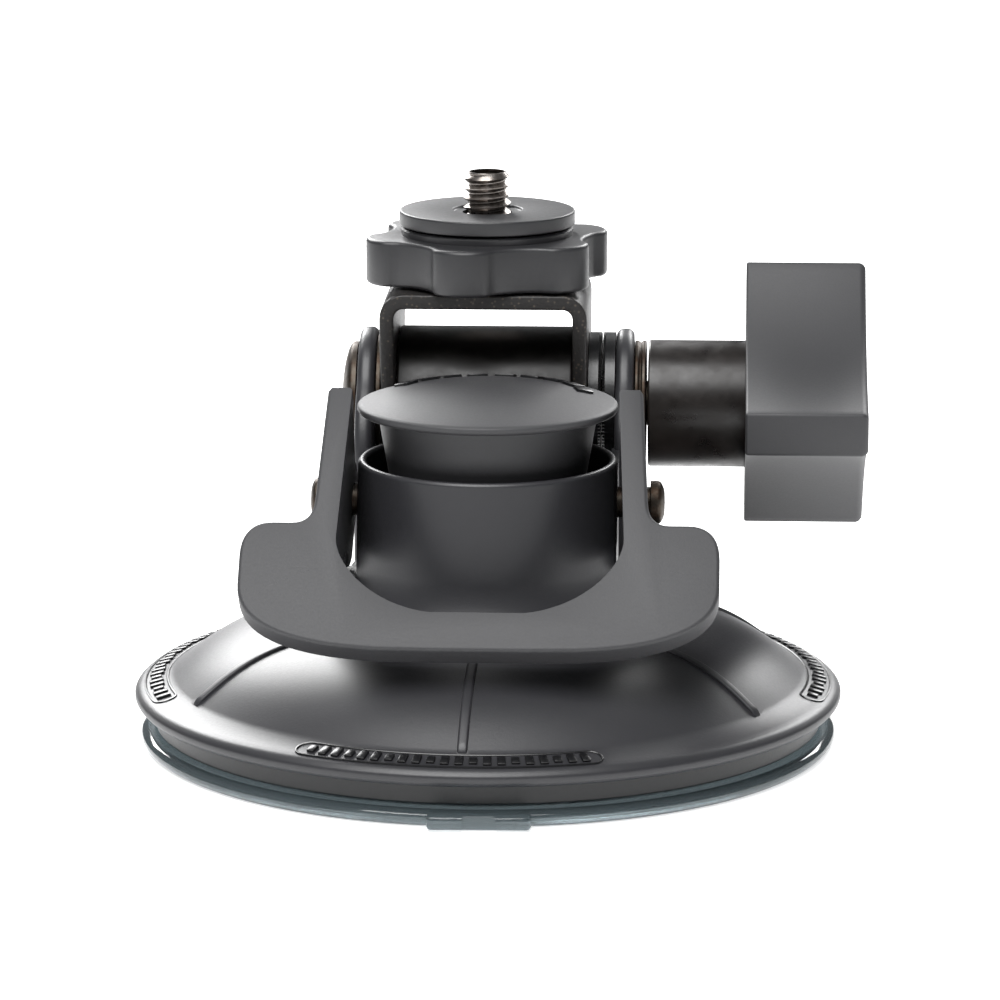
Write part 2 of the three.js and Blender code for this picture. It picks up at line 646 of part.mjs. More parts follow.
// An outline with n lobes: a flat tip on each, and a hollow side to the next.
function lobed(n, tipR, tipHalf, waistR, turn, steps) {
  const corner = (direction, side) => {
    const [c, s] = polar(1, direction);
    return new THREE.Vector2(tipR * c - side * tipHalf * s, tipR * s + side * tipHalf * c);
  };
  const points = [];
  for (let i = 0; i < n; i += 1) {
    const direction = turn + (i * 360) / n;
    const start = corner(direction, 1);
    const end = corner(direction + 360 / n, -1);
    const waist = new THREE.Vector2(...polar(waistR, direction + 180 / n));
    const control = waist.multiplyScalar(2).sub(start.clone().add(end).divideScalar(2));
    points.push(...new THREE.QuadraticBezierCurve(start, control, end).getPoints(steps));
  }
  return new THREE.Shape(points);
}

function knob() {
  const outline = lobed(KNOB_LOBES, KNOB_R, KNOB_TIP, KNOB_WAIST, KNOB_TURN, 6);
  return cut(
    sideSlab(outline, KNOB_X, KNOB_X + KNOB_W, KNOB_SOFT).translate(0, TILT_Y, TILT_Z),
    onTilt(disc(SLEEVE_R + GAP, KNOB_X - 1, KNOB_X + SLEEVE_SEAT + GAP, 48)),
    onTilt(disc(BUSH_R + GAP, KNOB_X, BUSH_END + GAP)),
  );
}

// ---------------------------------------------------------------- camera seat

const SEAT_Z = BRACKET_TOP + GAP; // underside of the star ring
const onSeat = (geometry) => geometry.translate(SEAT_X, TILT_Y, 0);

const screw = () => onSeat(turned([
  [0, BRACKET_TOP - SHEET],
  [SCREW_FOOT_R, BRACKET_TOP - SHEET],
  [SCREW_FOOT_R, BRACKET_TOP - SHEET + SCREW_FOOT_T],
  [SCREW_R, BRACKET_TOP - SHEET + SCREW_FOOT_T],
  [SCREW_R, SCREW_TOP - 0.7],
  [SCREW_R - 0.7, SCREW_TOP],
  [0, SCREW_TOP],
], SMALL));

// Six round lobes with hollows between them, as points on a softened star.
function starOutline() {
  const points = Array.from({ length: 60 }, (_, i) => {
    const phase = Math.cos(radians((i * 360 * STAR_LOBES) / 60));
    const swell = Math.sign(phase) * Math.abs(phase) ** 0.6;
    const r = (STAR_R + STAR_VALLEY) / 2 + ((STAR_R - STAR_VALLEY) / 2) * swell;
    return polar(r, STAR_TURN + (i * 360) / 60);
  });
  return polygon(points);
}

const starRing = () => onSeat(cut(
  join(
    slab(starOutline(), SEAT_Z, SEAT_Z + STAR_H, STAR_SOFT),
    disc(STAR_BOSS_R, SEAT_Z + 1, SEAT_Z + STAR_H + STAR_BOSS_H, 36),
  ),
  disc(NUT_R + GAP, SEAT_Z - 1, SEAT_Z + STAR_H + STAR_BOSS_H + 1),
));
const starNut = () => onSeat(ring(NUT_R, SCREW_R + RUN, SEAT_Z, SEAT_Z + STAR_H + STAR_BOSS_H - 0.2));

const PAD_Z = SEAT_Z + STAR_H + STAR_BOSS_H + GAP;
const pad = () => onSeat(turned([
  [SCREW_R + RUN, PAD_Z],
  [PAD_R, PAD_Z],
  [PAD_R, PAD_Z + PAD_T - 0.3],
  [PAD_R - 0.3, PAD_Z + PAD_T],
  [SCREW_R + RUN, PAD_Z + PAD_T],
], 56));

// ---------------------------------------------------------------- the assembly

const PIECES = [
  ['base_shell', shell, SHELL_PLASTIC],
  ['suction_membrane', membrane, CLEAR_VINYL],
  ['membrane_insert', insert, BLACK_PLASTIC],
  ['return_spring', spring, STEEL],
  ['plunger_column', plunger, BLACK_PLASTIC],
  ['push_cap', pushCap, LEVER_PLASTIC],
  ['lever_pin', pin, WORN_STEEL],
  ['pin_retainer', pinCap, WORN_STEEL],
  ['cam_lever', lever, LEVER_PLASTIC],
  ['tilt_bolt', bolt, WORN_STEEL],
  ['friction_washer', frictionWasher, STEEL],
  ['pivot_barrel', barrel, BLACK_COAT],
  ['u_bracket', bracket, BLACK_COAT],
  ['inner_tooth_washer', innerTeeth, BLACK_PLASTIC],
  ['outer_tooth_washer', outerTeeth, BLACK_PLASTIC],
  ['thrust_collar', thrustCollar, WORN_STEEL],
  ['knob_sleeve', sleeve, BLACK_PLASTIC],
  ['knob_bush', bush, BRASS],
  ['tilt_knob', knob, LEVER_PLASTIC],
  ['camera_screw', screw, STEEL],
  ['lock_ring', starRing, LEVER_PLASTIC],
  ['lock_ring_nut', starNut, BRASS],
  ['camera_pad', pad, SHELL_PLASTIC],
];

const group = new THREE.Group();
for (const [name, make, material] of PIECES) {
  const mesh = new THREE.Mesh(make(), material);
  mesh.name = name;
  group.add(mesh);
}

export default group;
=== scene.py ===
"""Looks for a suction cup camera mount: shell, clear membrane, cam lever, bracket and camera seat."""
import json
import math

import bpy
from mathutils import Matrix, Vector


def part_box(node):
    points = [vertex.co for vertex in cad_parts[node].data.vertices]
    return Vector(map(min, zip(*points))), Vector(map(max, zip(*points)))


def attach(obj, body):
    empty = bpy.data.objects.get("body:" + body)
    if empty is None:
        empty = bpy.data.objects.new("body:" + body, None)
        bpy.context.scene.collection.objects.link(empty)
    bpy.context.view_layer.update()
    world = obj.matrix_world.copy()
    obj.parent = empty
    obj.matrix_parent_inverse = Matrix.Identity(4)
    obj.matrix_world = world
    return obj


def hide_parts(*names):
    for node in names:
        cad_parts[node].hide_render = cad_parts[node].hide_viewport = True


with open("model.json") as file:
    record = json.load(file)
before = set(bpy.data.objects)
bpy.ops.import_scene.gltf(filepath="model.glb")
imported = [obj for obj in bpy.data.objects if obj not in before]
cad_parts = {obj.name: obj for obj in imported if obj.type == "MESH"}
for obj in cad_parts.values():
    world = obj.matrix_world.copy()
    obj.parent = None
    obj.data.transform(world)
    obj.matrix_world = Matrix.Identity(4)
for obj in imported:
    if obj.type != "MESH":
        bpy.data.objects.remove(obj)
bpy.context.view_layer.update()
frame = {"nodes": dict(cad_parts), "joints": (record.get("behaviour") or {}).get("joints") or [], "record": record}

bl_info = {
    "name": "Suction Cup Camera Mount",
    "version": (1, 0, 0),
    "blender": (4, 5, 0),
    "location": "View3D > Sidebar > Mount",
    "description": "Models and finishes a suction cup camera mount round its packed frame",
    "category": "Object",
}

MM = 0.001
JOINTS = {joint["name"]: joint for joint in frame["joints"]}
TILT = Vector(JOINTS["head_tilt"]["pos_m"])
PIN = Vector(JOINTS["lever_hinge"]["pos_m"])
SEAT = Vector(JOINTS["ring_spin"]["pos_m"])
EAR_FRONT = 12.5 * MM  # front edge of an ear
EAR_FOOT = 16.4 * MM  # bottom of an ear's front edge and of the webs
EAR_IN = 16 * MM  # half the space between the ears
TRAVEL = 3.5 * MM  # how far the plunger and its pin drop
PIN_SLOT = 2.25 * MM  # half the height and width of the pin's slots
HOLE_PLAY = 0.15 * MM  # radial play of a bolt or pin in its hole
RIB_TURN = 28.3  # direction of the first rib, degrees
RIB_COUNT = 6
PIN_HEAD = 2.8 * MM  # radius of the lever pin's head
PIN_SHANK = 2 * MM  # radius of the lever pin
LEVER_SLOPE = 45  # lean of the lever's face, degrees
CAM_LIFT = 4.04 * MM  # offset of the cam's round from the pin
CAM_TURN = 30  # degrees in front of straight down
TURN_STEPS = 128  # facets round a large turned piece
SMALL_STEPS = 64  # facets round a pin or a washer


def low(node):
    """Lowest corner of a CAD node."""
    return Vector(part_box(node)[0])


def high(node):
    """Highest corner of a CAD node."""
    return Vector(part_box(node)[1])


# ---------------------------------------------------------------- sizes and colours


def length(default, name, description):
    """A length the user can change, in metres, with its default given in millimetres."""
    return bpy.props.FloatProperty(name=name, description=description, default=default * MM, unit="LENGTH")


def colour(default, name, description):
    """A colour the user can change, with its default given as an sRGB hex value."""
    return bpy.props.FloatVectorProperty(
        name=name, description=description, default=linear(default), size=3, subtype="COLOR", min=0, max=1
    )


def linear(hex_value):
    """An sRGB hex colour as linear red, green and blue."""
    parts = [int(hex_value[i : i + 2], 16) / 255 for i in (1, 3, 5)]
    return tuple(c / 12.92 if c <= 0.04045 else ((c + 0.055) / 1.055) ** 2.4 for c in parts)


class MountCupSizes(bpy.types.PropertyGroup):
    """Sizes of the suction cup and its tower."""

    rim_radius: length(46, "Rim radius", "Radius of the shell's widest line")
    rim_height: length(6.4, "Rim height", "Height of the shell's widest line")
    skirt_radius: length(43.4, "Skirt radius", "Radius of the skirt that presses on the membrane")
    ledge_radius: length(41.4, "Ledge radius", "Inner radius of the sloping ledge")
    ledge_height: length(8.4, "Ledge height", "Height of the ledge's inner edge")
    tower_radius: length(16.75, "Tower radius", "Outer radius of the open tower at its top")
    tower_bore: length(15.7, "Tower bore", "Inner radius of the tower")
    tower_top: length(36.95, "Tower top", "Height of the tower's open top")
    tower_floor: length(22.4, "Tower floor", "Height of the floor inside the tower")
    cam_pad: length(22.3, "Cam pad", "Height of the pads that the cams press on")
    wall: length(2.3, "Wall", "Thickness of the moulded shell")
    rib_width: length(1.3, "Rib width", "Width of a radial rib")
    rib_height: length(0.35, "Rib height", "How far a rib stands out of the cone")
    membrane_thickness: length(2.2, "Membrane thickness", "Thickness of the membrane at its edge")


class MountLeverSizes(bpy.types.PropertyGroup):
    """Sizes of the cam lever."""

    plate: length(3.4, "Plate", "Thickness of the lever's face plate")
    span: length(38.6, "Length", "Length of the lever up its slope")
    wing: length(29.1, "Half width", "Half the width of the thumb plate")
    wing_length: length(18.3, "Wing length", "Height of the thumb plate's wings up the slope")
    bow: length(5.1, "Bow", "Thumb plate left below the open bow")
    arm_gap: length(17.05, "Arm gap", "Half the opening between the arms at their tops")
    arm: length(3.1, "Arm", "Thickness of an arm")
    edge: length(1.0, "Edge", "Rounding of the lever's outer edge")


class MountHeadSizes(bpy.types.PropertyGroup):
    """Sizes of the tilting head and its clamp."""

    sheet: length(1.9, "Sheet", "Thickness of the bracket's steel sheet")
    bend: length(3.2, "Bend", "Outer radius of the bracket's folds")
    ear: length(2.4, "Ear", "Thickness of an ear of the tilt joint")
    eye: length(10, "Eye", "Radius of an ear round the tilt axis")
    bolt: length(3, "Bolt", "Radius of the tilt bolt")
    knob_radius: length(19.3, "Knob radius", "Radius to the tip of a knob lobe")
    knob_waist: length(9.4, "Knob waist", "Radius to the hollow between two lobes")
    knob_edge: length(0.9, "Knob edge", "Rounding of the knob's outer face")
    star_radius: length(16.6, "Ring radius", "Radius to the tip of a lock ring lobe")
    star_valley: length(13.4, "Ring valley", "Radius between two lobes of the lock ring")
    thread: length(3.175, "Thread", "Outer radius of the camera screw")
    pitch: length(1.27, "Pitch", "Rise of the camera screw for each turn")


class MountColours(bpy.types.PropertyGroup):
    """Base colours of the finishes."""

    shell: colour("#2c2c2f", "Shell", "Satin nylon of the shell")
    lever: colour("#38383a", "Lever", "Matt ABS of the lever, cap and knob")
    ring: colour("#29292b", "Lock ring", "ABS of the lock ring and pad")
    # Painted shade: the ledge marks are the shell's own nylon, given this near-black for the shade round their
    # fine detail; the tooth washers' real black uses it too.
    mark: colour("#0e0e10", "Marks", "Dark raised marks on the ledge")
    vinyl: colour("#8a989d", "Membrane", "Clear vinyl of the membrane")
    coat: colour("#1d1b1a", "Powder coat", "Black powder coat of the bracket")
    black: colour("#0b0b0b", "Black parts", "Black acetal and paint")
    steel: colour("#8f8a86", "Plated steel", "Bright plated steel")
    dull_steel: colour("#4b4640", "Dull steel", "Dulled zinc-plated steel")
    brass: colour("#b08d4a", "Brass", "Turned brass of the hidden threads")


# ---------------------------------------------------------------- materials


def add_node(tree, kind, settings=None, **inputs):
    """Adds a shader node, sets its properties, and sets or links its inputs."""
    made = tree.nodes.new(kind)
    for key, value in (settings or {}).items():
        setattr(made, key, value)
    for key, value in inputs.items():
        by_number = key[0] == "i" and key[1:].isdigit()
        socket = made.inputs[int(key[1:]) if by_number else key.replace("_", " ")]
        if isinstance(value, bpy.types.NodeSocket):
            tree.links.new(value, socket)
        else:
            socket.default_value = value
    return made


def new_material(name):
    """An empty node material with its output, and the Object coordinates."""
    material = bpy.data.materials.new(name)
    material.use_nodes = True
    tree = material.node_tree
    tree.nodes.clear()
    output = add_node(tree, "ShaderNodeOutputMaterial")
    coords = add_node(tree, "ShaderNodeTexCoord").outputs["Object"]
    return material, tree, output, coords


def rgba(values, factor=1.0):
    """A colour as four numbers, brightened or darkened by a factor."""
    return (*(min(1.0, c * factor) for c in values), 1.0)


def per_mm(size):
    """Scale of a noise whose features are about this many millimetres across."""
    return 1 / (size * MM)


def painted_skirt_shade(tree, coords, shade):
    """Painted shade: darkens the shell's colour below its rim, so the skirt reads as a dark groove over the
    membrane.
    """
    height = add_node(tree, "ShaderNodeSeparateXYZ", Vector=coords).outputs["Z"]
    skirt_shade_mask = add_node(
        tree, "ShaderNodeMapRange", Value=height, From_Min=4.9 * MM, From_Max=5.5 * MM, To_Min=1.0, To_Max=0.0
    )
    # The near-black colour mixed in below the rim is painted shade.
    return add_node(
        tree, "ShaderNodeMix", {"data_type": "RGBA"},
        i0=skirt_shade_mask.outputs[0], i6=shade, i7=rgba(linear("#0b0d10")),
    ).outputs[2]


def moulded_plastic(name, tint, roughness, grain_mm, grain, mottle=0.12, skirt=False):
    """Injection-moulded plastic from a spark-eroded tool: a fine even grain breaks up its highlights."""
    material, tree, output, coords = new_material(name)
    cloud = add_node(tree, "ShaderNodeTexNoise", Vector=coords, Scale=per_mm(14), Detail=4.0)
    grit = add_node(
        tree, "ShaderNodeTexNoise", Vector=coords, Scale=per_mm(grain_mm), Detail=2.0, Roughness=0.6
    )
    shade = add_node(
        tree, "ShaderNodeMix", {"data_type": "RGBA"},
        i0=cloud.outputs["Fac"], i6=rgba(tint, 1 - mottle), i7=rgba(tint, 1 + mottle),
    )
    gloss = add_node(
        tree, "ShaderNodeMapRange",
        Value=grit.outputs["Fac"], To_Min=roughness - 0.06, To_Max=roughness + 0.08,
    )
    bump = add_node(tree, "ShaderNodeBump", Strength=grain, Distance=0.05 * MM, Height=grit.outputs["Fac"])
    # With skirt set, the colour below the rim takes a painted shade.
    shader = add_node(
        tree, "ShaderNodeBsdfPrincipled",
        Base_Color=painted_skirt_shade(tree, coords, shade.outputs[2]) if skirt else shade.outputs[2],
        Roughness=gloss.outputs[0], Normal=bump.outputs[0], IOR=1.53,
    )
    tree.links.new(shader.outputs[0], output.inputs["Surface"])
    return material


def clear_vinyl(name, tint):
    """Soft clear PVC: nearly colourless, with a glossy skin and a faint blue-green depth."""
    material, tree, output, coords = new_material(name)
    ripple = add_node(tree, "ShaderNodeTexNoise", Vector=coords, Scale=per_mm(9), Detail=1.0)
    bump = add_node(tree, "ShaderNodeBump", Strength=0.12, Distance=0.3 * MM, Height=ripple.outputs["Fac"])
    shader = add_node(
        tree, "ShaderNodeBsdfPrincipled",
        Base_Color=rgba(tint), Roughness=0.08, Transmission_Weight=0.8, IOR=1.45, Normal=bump.outputs[0],
    )
    tree.links.new(shader.outputs[0], output.inputs["Surface"])
    return material


def powder_coat(name, tint):
    """Baked black powder coat on sheet steel: an orange-peel grain with brownish flecks."""
    material, tree, output, coords = new_material(name)
    peel = add_node(tree, "ShaderNodeTexNoise", Vector=coords, Scale=per_mm(0.5), Detail=4.0, Roughness=0.7)
    fleck = add_node(tree, "ShaderNodeTexVoronoi", Vector=coords, Scale=per_mm(0.7), Randomness=1.0)
    spots = add_node(
        tree, "ShaderNodeMapRange",
        Value=fleck.outputs["Distance"], From_Min=0.12, From_Max=0.3, To_Min=0.55, To_Max=0.0,
    )
    shade = add_node(
        tree, "ShaderNodeMix", {"data_type": "RGBA"},
        i0=spots.outputs[0], i6=rgba(tint), i7=rgba(linear("#5a5046")),
    )
    gloss = add_node(tree, "ShaderNodeMapRange", Value=peel.outputs["Fac"], To_Min=0.32, To_Max=0.62)
    bump = add_node(tree, "ShaderNodeBump", Strength=0.6, Distance=0.12 * MM, Height=peel.outputs["Fac"])
    shader = add_node(
        tree, "ShaderNodeBsdfPrincipled",
        Base_Color=shade.outputs[2], Roughness=gloss.outputs[0], Normal=bump.outputs[0], IOR=1.5,
    )
    tree.links.new(shader.outputs[0], output.inputs["Surface"])
    return material


def turned_black(name, tint, roughness, groove_mm, brown_sheen):
    """Black acetal turned on a lathe along X: fine tool rings draw a soft streak, and handling smudges vary its
    gloss. Where they lie, brown patches are mixed into the colour as a painted brown reflection.
    """
    material, tree, output, coords = new_material(name)
    rings = add_node(
        tree, "ShaderNodeTexWave", {"wave_type": "BANDS", "bands_direction": "X"},
        Vector=coords, Scale=per_mm(groove_mm) / 20, Distortion=0.4, Detail=2.0,
    )
    smudge_and_sheen = add_node(tree, "ShaderNodeTexNoise", Vector=coords, Scale=per_mm(5), Detail=5.0, Roughness=0.65)
    # Painted brown reflection: the smudge noise mixes brownish patches into the black.
    shade = add_node(
        tree, "ShaderNodeMix", {"data_type": "RGBA"},
        i0=smudge_and_sheen.outputs["Fac"], i6=rgba(tint), i7=rgba(linear("#2a201a"), brown_sheen),
    )
    gloss = add_node(
        tree, "ShaderNodeMapRange", Value=smudge_and_sheen.outputs["Fac"], From_Min=0.35, From_Max=0.7,
        To_Min=roughness, To_Max=roughness + 0.22,
    )
    bump = add_node(tree, "ShaderNodeBump", Strength=0.15, Distance=0.02 * MM, Height=rings.outputs["Fac"])
    shader = add_node(
        tree, "ShaderNodeBsdfPrincipled",
        Base_Color=shade.outputs[2], Roughness=gloss.outputs[0], Normal=bump.outputs[0], IOR=1.49,
    )
    tree.links.new(shader.outputs[0], output.inputs["Surface"])
    return material


def worn_metal(name, tint, roughness, stain, stain_hex):
    """Plated steel that has been handled: bright where it is rubbed, with brown bloom in patches."""
    material, tree, output, coords = new_material(name)
    bloom = add_node(tree, "ShaderNodeTexNoise", Vector=coords, Scale=per_mm(1.6), Detail=6.0, Roughness=0.7)
    scratch = add_node(tree, "ShaderNodeTexNoise", Vector=coords, Scale=per_mm(0.4), Detail=3.0)
    patch = add_node(
        tree, "ShaderNodeMapRange",
        Value=bloom.outputs["Fac"], From_Min=0.42, From_Max=0.66, To_Min=0.0, To_Max=stain,
    )
    shade = add_node(
        tree, "ShaderNodeMix", {"data_type": "RGBA"},
        i0=patch.outputs[0], i6=rgba(tint), i7=rgba(linear(stain_hex)),
    )
    gloss = add_node(
        tree, "ShaderNodeMapRange",
        Value=bloom.outputs["Fac"], To_Min=roughness - 0.08, To_Max=roughness + 0.25,
    )
    bump = add_node(tree, "ShaderNodeBump", Strength=0.25, Distance=0.03 * MM, Height=scratch.outputs["Fac"])
    shader = add_node(
        tree, "ShaderNodeBsdfPrincipled",
        Base_Color=shade.outputs[2], Metallic=1.0, Roughness=gloss.outputs[0], Normal=bump.outputs[0],
    )
    tree.links.new(shader.outputs[0], output.inputs["Surface"])
    return material


def finishes():
    """Every finish by the record's material slot, made once."""
    colours = bpy.context.scene.mount_colours
    if "satin nylon" not in bpy.data.materials:
        # The shell's nylon carries the painted skirt shade below its rim.
        moulded_plastic("satin nylon", colours.shell, 0.4, 0.35, 0.22, skirt=True)
        moulded_plastic("matt ABS", colours.lever, 0.55, 0.3, 0.2)
        moulded_plastic("satin ABS", colours.ring, 0.42, 0.45, 0.15)
        # Near-black for the tooth washers, and painted shade on the ledge marks.
        moulded_plastic("dark nylon and painted shade", colours.mark, 0.3, 0.4, 0.2)
        clear_vinyl("clear vinyl", colours.vinyl)
        powder_coat("black powder coat", colours.coat)
        turned_black("turned black acetal", colours.black, 0.26, 0.5, 0.6)
        turned_black("painted black barrel", colours.black, 0.3, 0.35, 0.3)
        worn_metal("plated steel", colours.steel, 0.22, 0.6, "#4a3a2c")
        worn_metal("dulled zinc plate", colours.dull_steel, 0.4, 0.8, "#3c2a1e")
        worn_metal("turned brass", colours.brass, 0.3, 0.2, "#6b4d20")
    return {
        "shell_plastic": "satin nylon",
        "lever_plastic": "matt ABS",
        "ring_plastic": "satin ABS",
        "clear_vinyl": "clear vinyl",
        "black_coat": "black powder coat",
        "black_plastic": "turned black acetal",
        "bright_steel": "plated steel",
        "worn_steel": "dulled zinc plate",
        "brass": "turned brass",
    }


def paint(piece, material_name):
    """Gives a piece one finish all over."""
    piece.data.materials.clear()
    piece.data.materials.append(bpy.data.materials[material_name])


# ---------------------------------------------------------------- modelling helpers


def only(piece):
    """Selects one object alone and makes it active."""
    if bpy.context.object and bpy.context.object.mode != "OBJECT":
        bpy.ops.object.mode_set(mode="OBJECT")
    bpy.ops.object.select_all(action="DESELECT")
    piece.select_set(True)
    bpy.context.view_layer.objects.active = piece


def wire(name, points, close=False):
    """A line of edges through the points, extruded one by one from a single corner. Leaves edit mode on."""
    bpy.ops.object.select_all(action="DESELECT")
    bpy.ops.mesh.primitive_plane_add(size=MM)
    piece = bpy.context.object
    piece.name = piece.data.name = name
    bpy.ops.object.mode_set(mode="EDIT")
    bpy.ops.mesh.select_mode(type="VERT")
    bpy.ops.mesh.select_all(action="SELECT")
    bpy.ops.mesh.merge(type="CENTER")
    bpy.ops.transform.translate(value=points[0])
    for here, there in zip(points, points[1:]):
        bpy.ops.mesh.extrude_region_move(TRANSFORM_OT_translate={"value": Vector(there) - Vector(here)})
    if close:
        back = Vector(points[0]) - Vector(points[-1])
        bpy.ops.mesh.extrude_region_move(TRANSFORM_OT_translate={"value": back})
    bpy.ops.mesh.select_all(action="SELECT")
    bpy.ops.mesh.remove_doubles(threshold=1e-7)
    return piece


def tidy_mesh():
    """In edit mode: merges doubled corners and turns every face outwards."""
    bpy.ops.mesh.select_all(action="SELECT")
    bpy.ops.mesh.remove_doubles(threshold=2e-6)
    bpy.ops.mesh.dissolve_degenerate(threshold=1e-7)
    bpy.ops.mesh.normals_make_consistent(inside=False)
    bpy.ops.object.mode_set(mode="OBJECT")


def lathe(name, outline, centre=(0, 0, 0), axis=(0, 0, 1), steps=TURN_STEPS):
    """Spins an outline of (radius, distance along the axis) once round, closed or ending on the axis."""
    along = Vector(axis)
    out = Vector((1, 0, 0)) if along.z else Vector((0, 0, 1))
    points = [Vector(centre) + out * r + along * d for r, d in outline]
    on_axis = abs(outline[0][0]) < 1e-9 and abs(outline[-1][0]) < 1e-9
    piece = wire(name, points, close=not on_axis)
    bpy.ops.mesh.spin(steps=steps, angle=2 * math.pi, center=centre, axis=along)
    tidy_mesh()
    return piece


def lathe_x(name, outline, centre=TILT, steps=SMALL_STEPS):
    """Spins an outline of (radius, x) round a line along X. x is measured from the frame's origin."""
    return lathe(name, outline, (0, centre[1], centre[2]), (1, 0, 0), steps)


def slab(name, outline, low_z, high_z):
    """A flat outline of (x, y) filled and pushed from one height to another."""
    piece = wire(name, [Vector((x, y, low_z)) for x, y in outline], close=True)
    bpy.ops.mesh.edge_face_add()
    bpy.ops.mesh.extrude_region_move(TRANSFORM_OT_translate={"value": (0, 0, high_z - low_z)})
    tidy_mesh()
    return piece


def side_slab(name, outline, low_x, high_x):
    """A flat outline of (y, z) filled and pushed from one x to another."""
    piece = wire(name, [Vector((low_x, y, z)) for y, z in outline], close=True)
    bpy.ops.mesh.edge_face_add()
    bpy.ops.mesh.extrude_region_move(TRANSFORM_OT_translate={"value": (high_x - low_x, 0, 0)})
    tidy_mesh()
    return piece


def block(name, low_corner, high_corner):
    """A plain box between two corners, used as a cutting tool or to be shaped further."""
    size = Vector(high_corner) - Vector(low_corner)
    bpy.ops.object.select_all(action="DESELECT")
    bpy.ops.mesh.primitive_cube_add(size=1, location=(Vector(low_corner) + Vector(high_corner)) / 2)
    piece = bpy.context.object
    piece.name = piece.data.name = name
    piece.scale = size
    bpy.ops.object.transform_apply()
    return piece


def rod(name, radius, low_x, high_x, centre=TILT, steps=48):
    """A plain rod along X, used as a cutting tool."""
    return lathe_x(name, [(0, low_x), (radius, low_x), (radius, high_x), (0, high_x)], centre, steps)


def place(piece, matrix):
    """Moves a piece to its place and applies it, so that the object itself stays at the origin."""
    piece.matrix_world = matrix
    only(piece)
    bpy.ops.object.transform_apply()
    return piece


def join(name, pieces):
    """Joins like pieces into one object with a name."""
    only(pieces[0])
    for piece in pieces:
        piece.select_set(True)
    bpy.ops.object.join()
    joined = bpy.context.object
    joined.name = joined.data.name = name
    return joined


def combine(piece, *others, operation="DIFFERENCE"):
    """Cuts, joins or trims a piece by others, which are used up."""
    for other in others:
        step = piece.modifiers.new("combine", "BOOLEAN")
        step.object = other
        step.operation = operation
        step.solver = "EXACT"
        only(piece)
        bpy.ops.object.modifier_apply(modifier=step.name)
        bpy.data.objects.remove(other)
    return piece


def soften(piece, width, segments=3, angle=35):
    """Rounds every edge sharper than an angle."""
    step = piece.modifiers.new("soften", "BEVEL")
    step.limit_method = "ANGLE"
    step.angle_limit = math.radians(angle)
    step.width = width
    step.segments = segments
    only(piece)
    bpy.ops.object.modifier_apply(modifier=step.name)
    return piece


def bevel_where(piece, width, segments, test):
    """Rounds the edges whose two ends pass a test, by a bevel in edit mode."""
    only(piece)
    bpy.ops.object.mode_set(mode="EDIT")
    bpy.ops.mesh.select_mode(type="EDGE")
    bpy.ops.mesh.select_all(action="DESELECT")
    bpy.ops.object.mode_set(mode="OBJECT")
    corners = piece.data.vertices
    for edge in piece.data.edges:
        edge.select = test(*(corners[i].co for i in edge.vertices))
    bpy.ops.object.mode_set(mode="EDIT")
    bpy.ops.mesh.bevel(offset=width, segments=segments, clamp_overlap=True)
    tidy_mesh()


def finish_piece(piece, body, slot, *nodes, material=None, angle=32):
    """Smooth shading, finish, body and CAD nodes of a piece that is done."""
    only(piece)
    bpy.ops.object.shade_smooth_by_angle(angle=math.radians(angle))
    paint(piece, material or finishes()[slot])
    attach(piece, body)
    if nodes:
        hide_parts(*nodes)
    return piece


def polar(radius, degrees):
    """A point on a circle."""
    turn = math.radians(degrees)
    return radius * math.cos(turn), radius * math.sin(turn)


def arc(centre, radius, start, end, count):
    """Points along an arc, its ends included, angles in degrees."""
    steps = [start + (end - start) * i / count for i in range(count + 1)]
    return [(centre[0] + polar(radius, a)[0], centre[1] + polar(radius, a)[1]) for a in steps]


def bezier(p0, p1, p2, p3, count=10):
    """Points along a cubic curve, without its first point."""
    points = []
    for i in range(1, count + 1):
        t = i / count
        weights = ((1 - t) ** 3, 3 * t * (1 - t) ** 2, 3 * t * t * (1 - t), t**3)
        points.append(tuple(sum(w * p[k] for w, p in zip(weights, (p0, p1, p2, p3))) for k in (0, 1)))
    return points


def fillet(points, corner_radius, count=4):
    """Rounds every inner corner of an open outline: each is (x, y) or (x, y, own radius)."""
    done = [points[0][:2]]
    for before, here, after in zip(points, points[1:], points[2:]):
        radius = here[2] if len(here) > 2 else corner_radius
        corner, back, on = (Vector(p[:2]) for p in (here, before, after))
        into, out = back - corner, on - corner
        reach = min(radius, into.length * 0.45, out.length * 0.45)
        start, end = corner + into.normalized() * reach, corner + out.normalized() * reach
        if reach <= 1e-9:
            done.append(tuple(corner))
            continue
        for i in range(count + 1):
            t = i / count
            done.append(tuple(start * (1 - t) ** 2 + corner * 2 * t * (1 - t) + end * t * t))
    done.append(points[-1][:2])
    return done


# ---------------------------------------------------------------- the pieces


def dome_outline(cup):
    """Outside of the shell from the ledge up to the foot of the tower, as points of (radius, height)."""
    ledge = (cup.ledge_radius, cup.ledge_height)
    shoulder = (27.3 * MM, 15.2 * MM)
    foot = (cup.tower_radius + 0.75 * MM, 24 * MM)
    points = [ledge]
    points += bezier(ledge, (38 * MM, 10.9 * MM), (34.5 * MM, 13.9 * MM), shoulder, 16)
    points += bezier(shoulder, (22.3 * MM, 16.1 * MM), (18.3 * MM, 18 * MM), foot, 16)
    return points


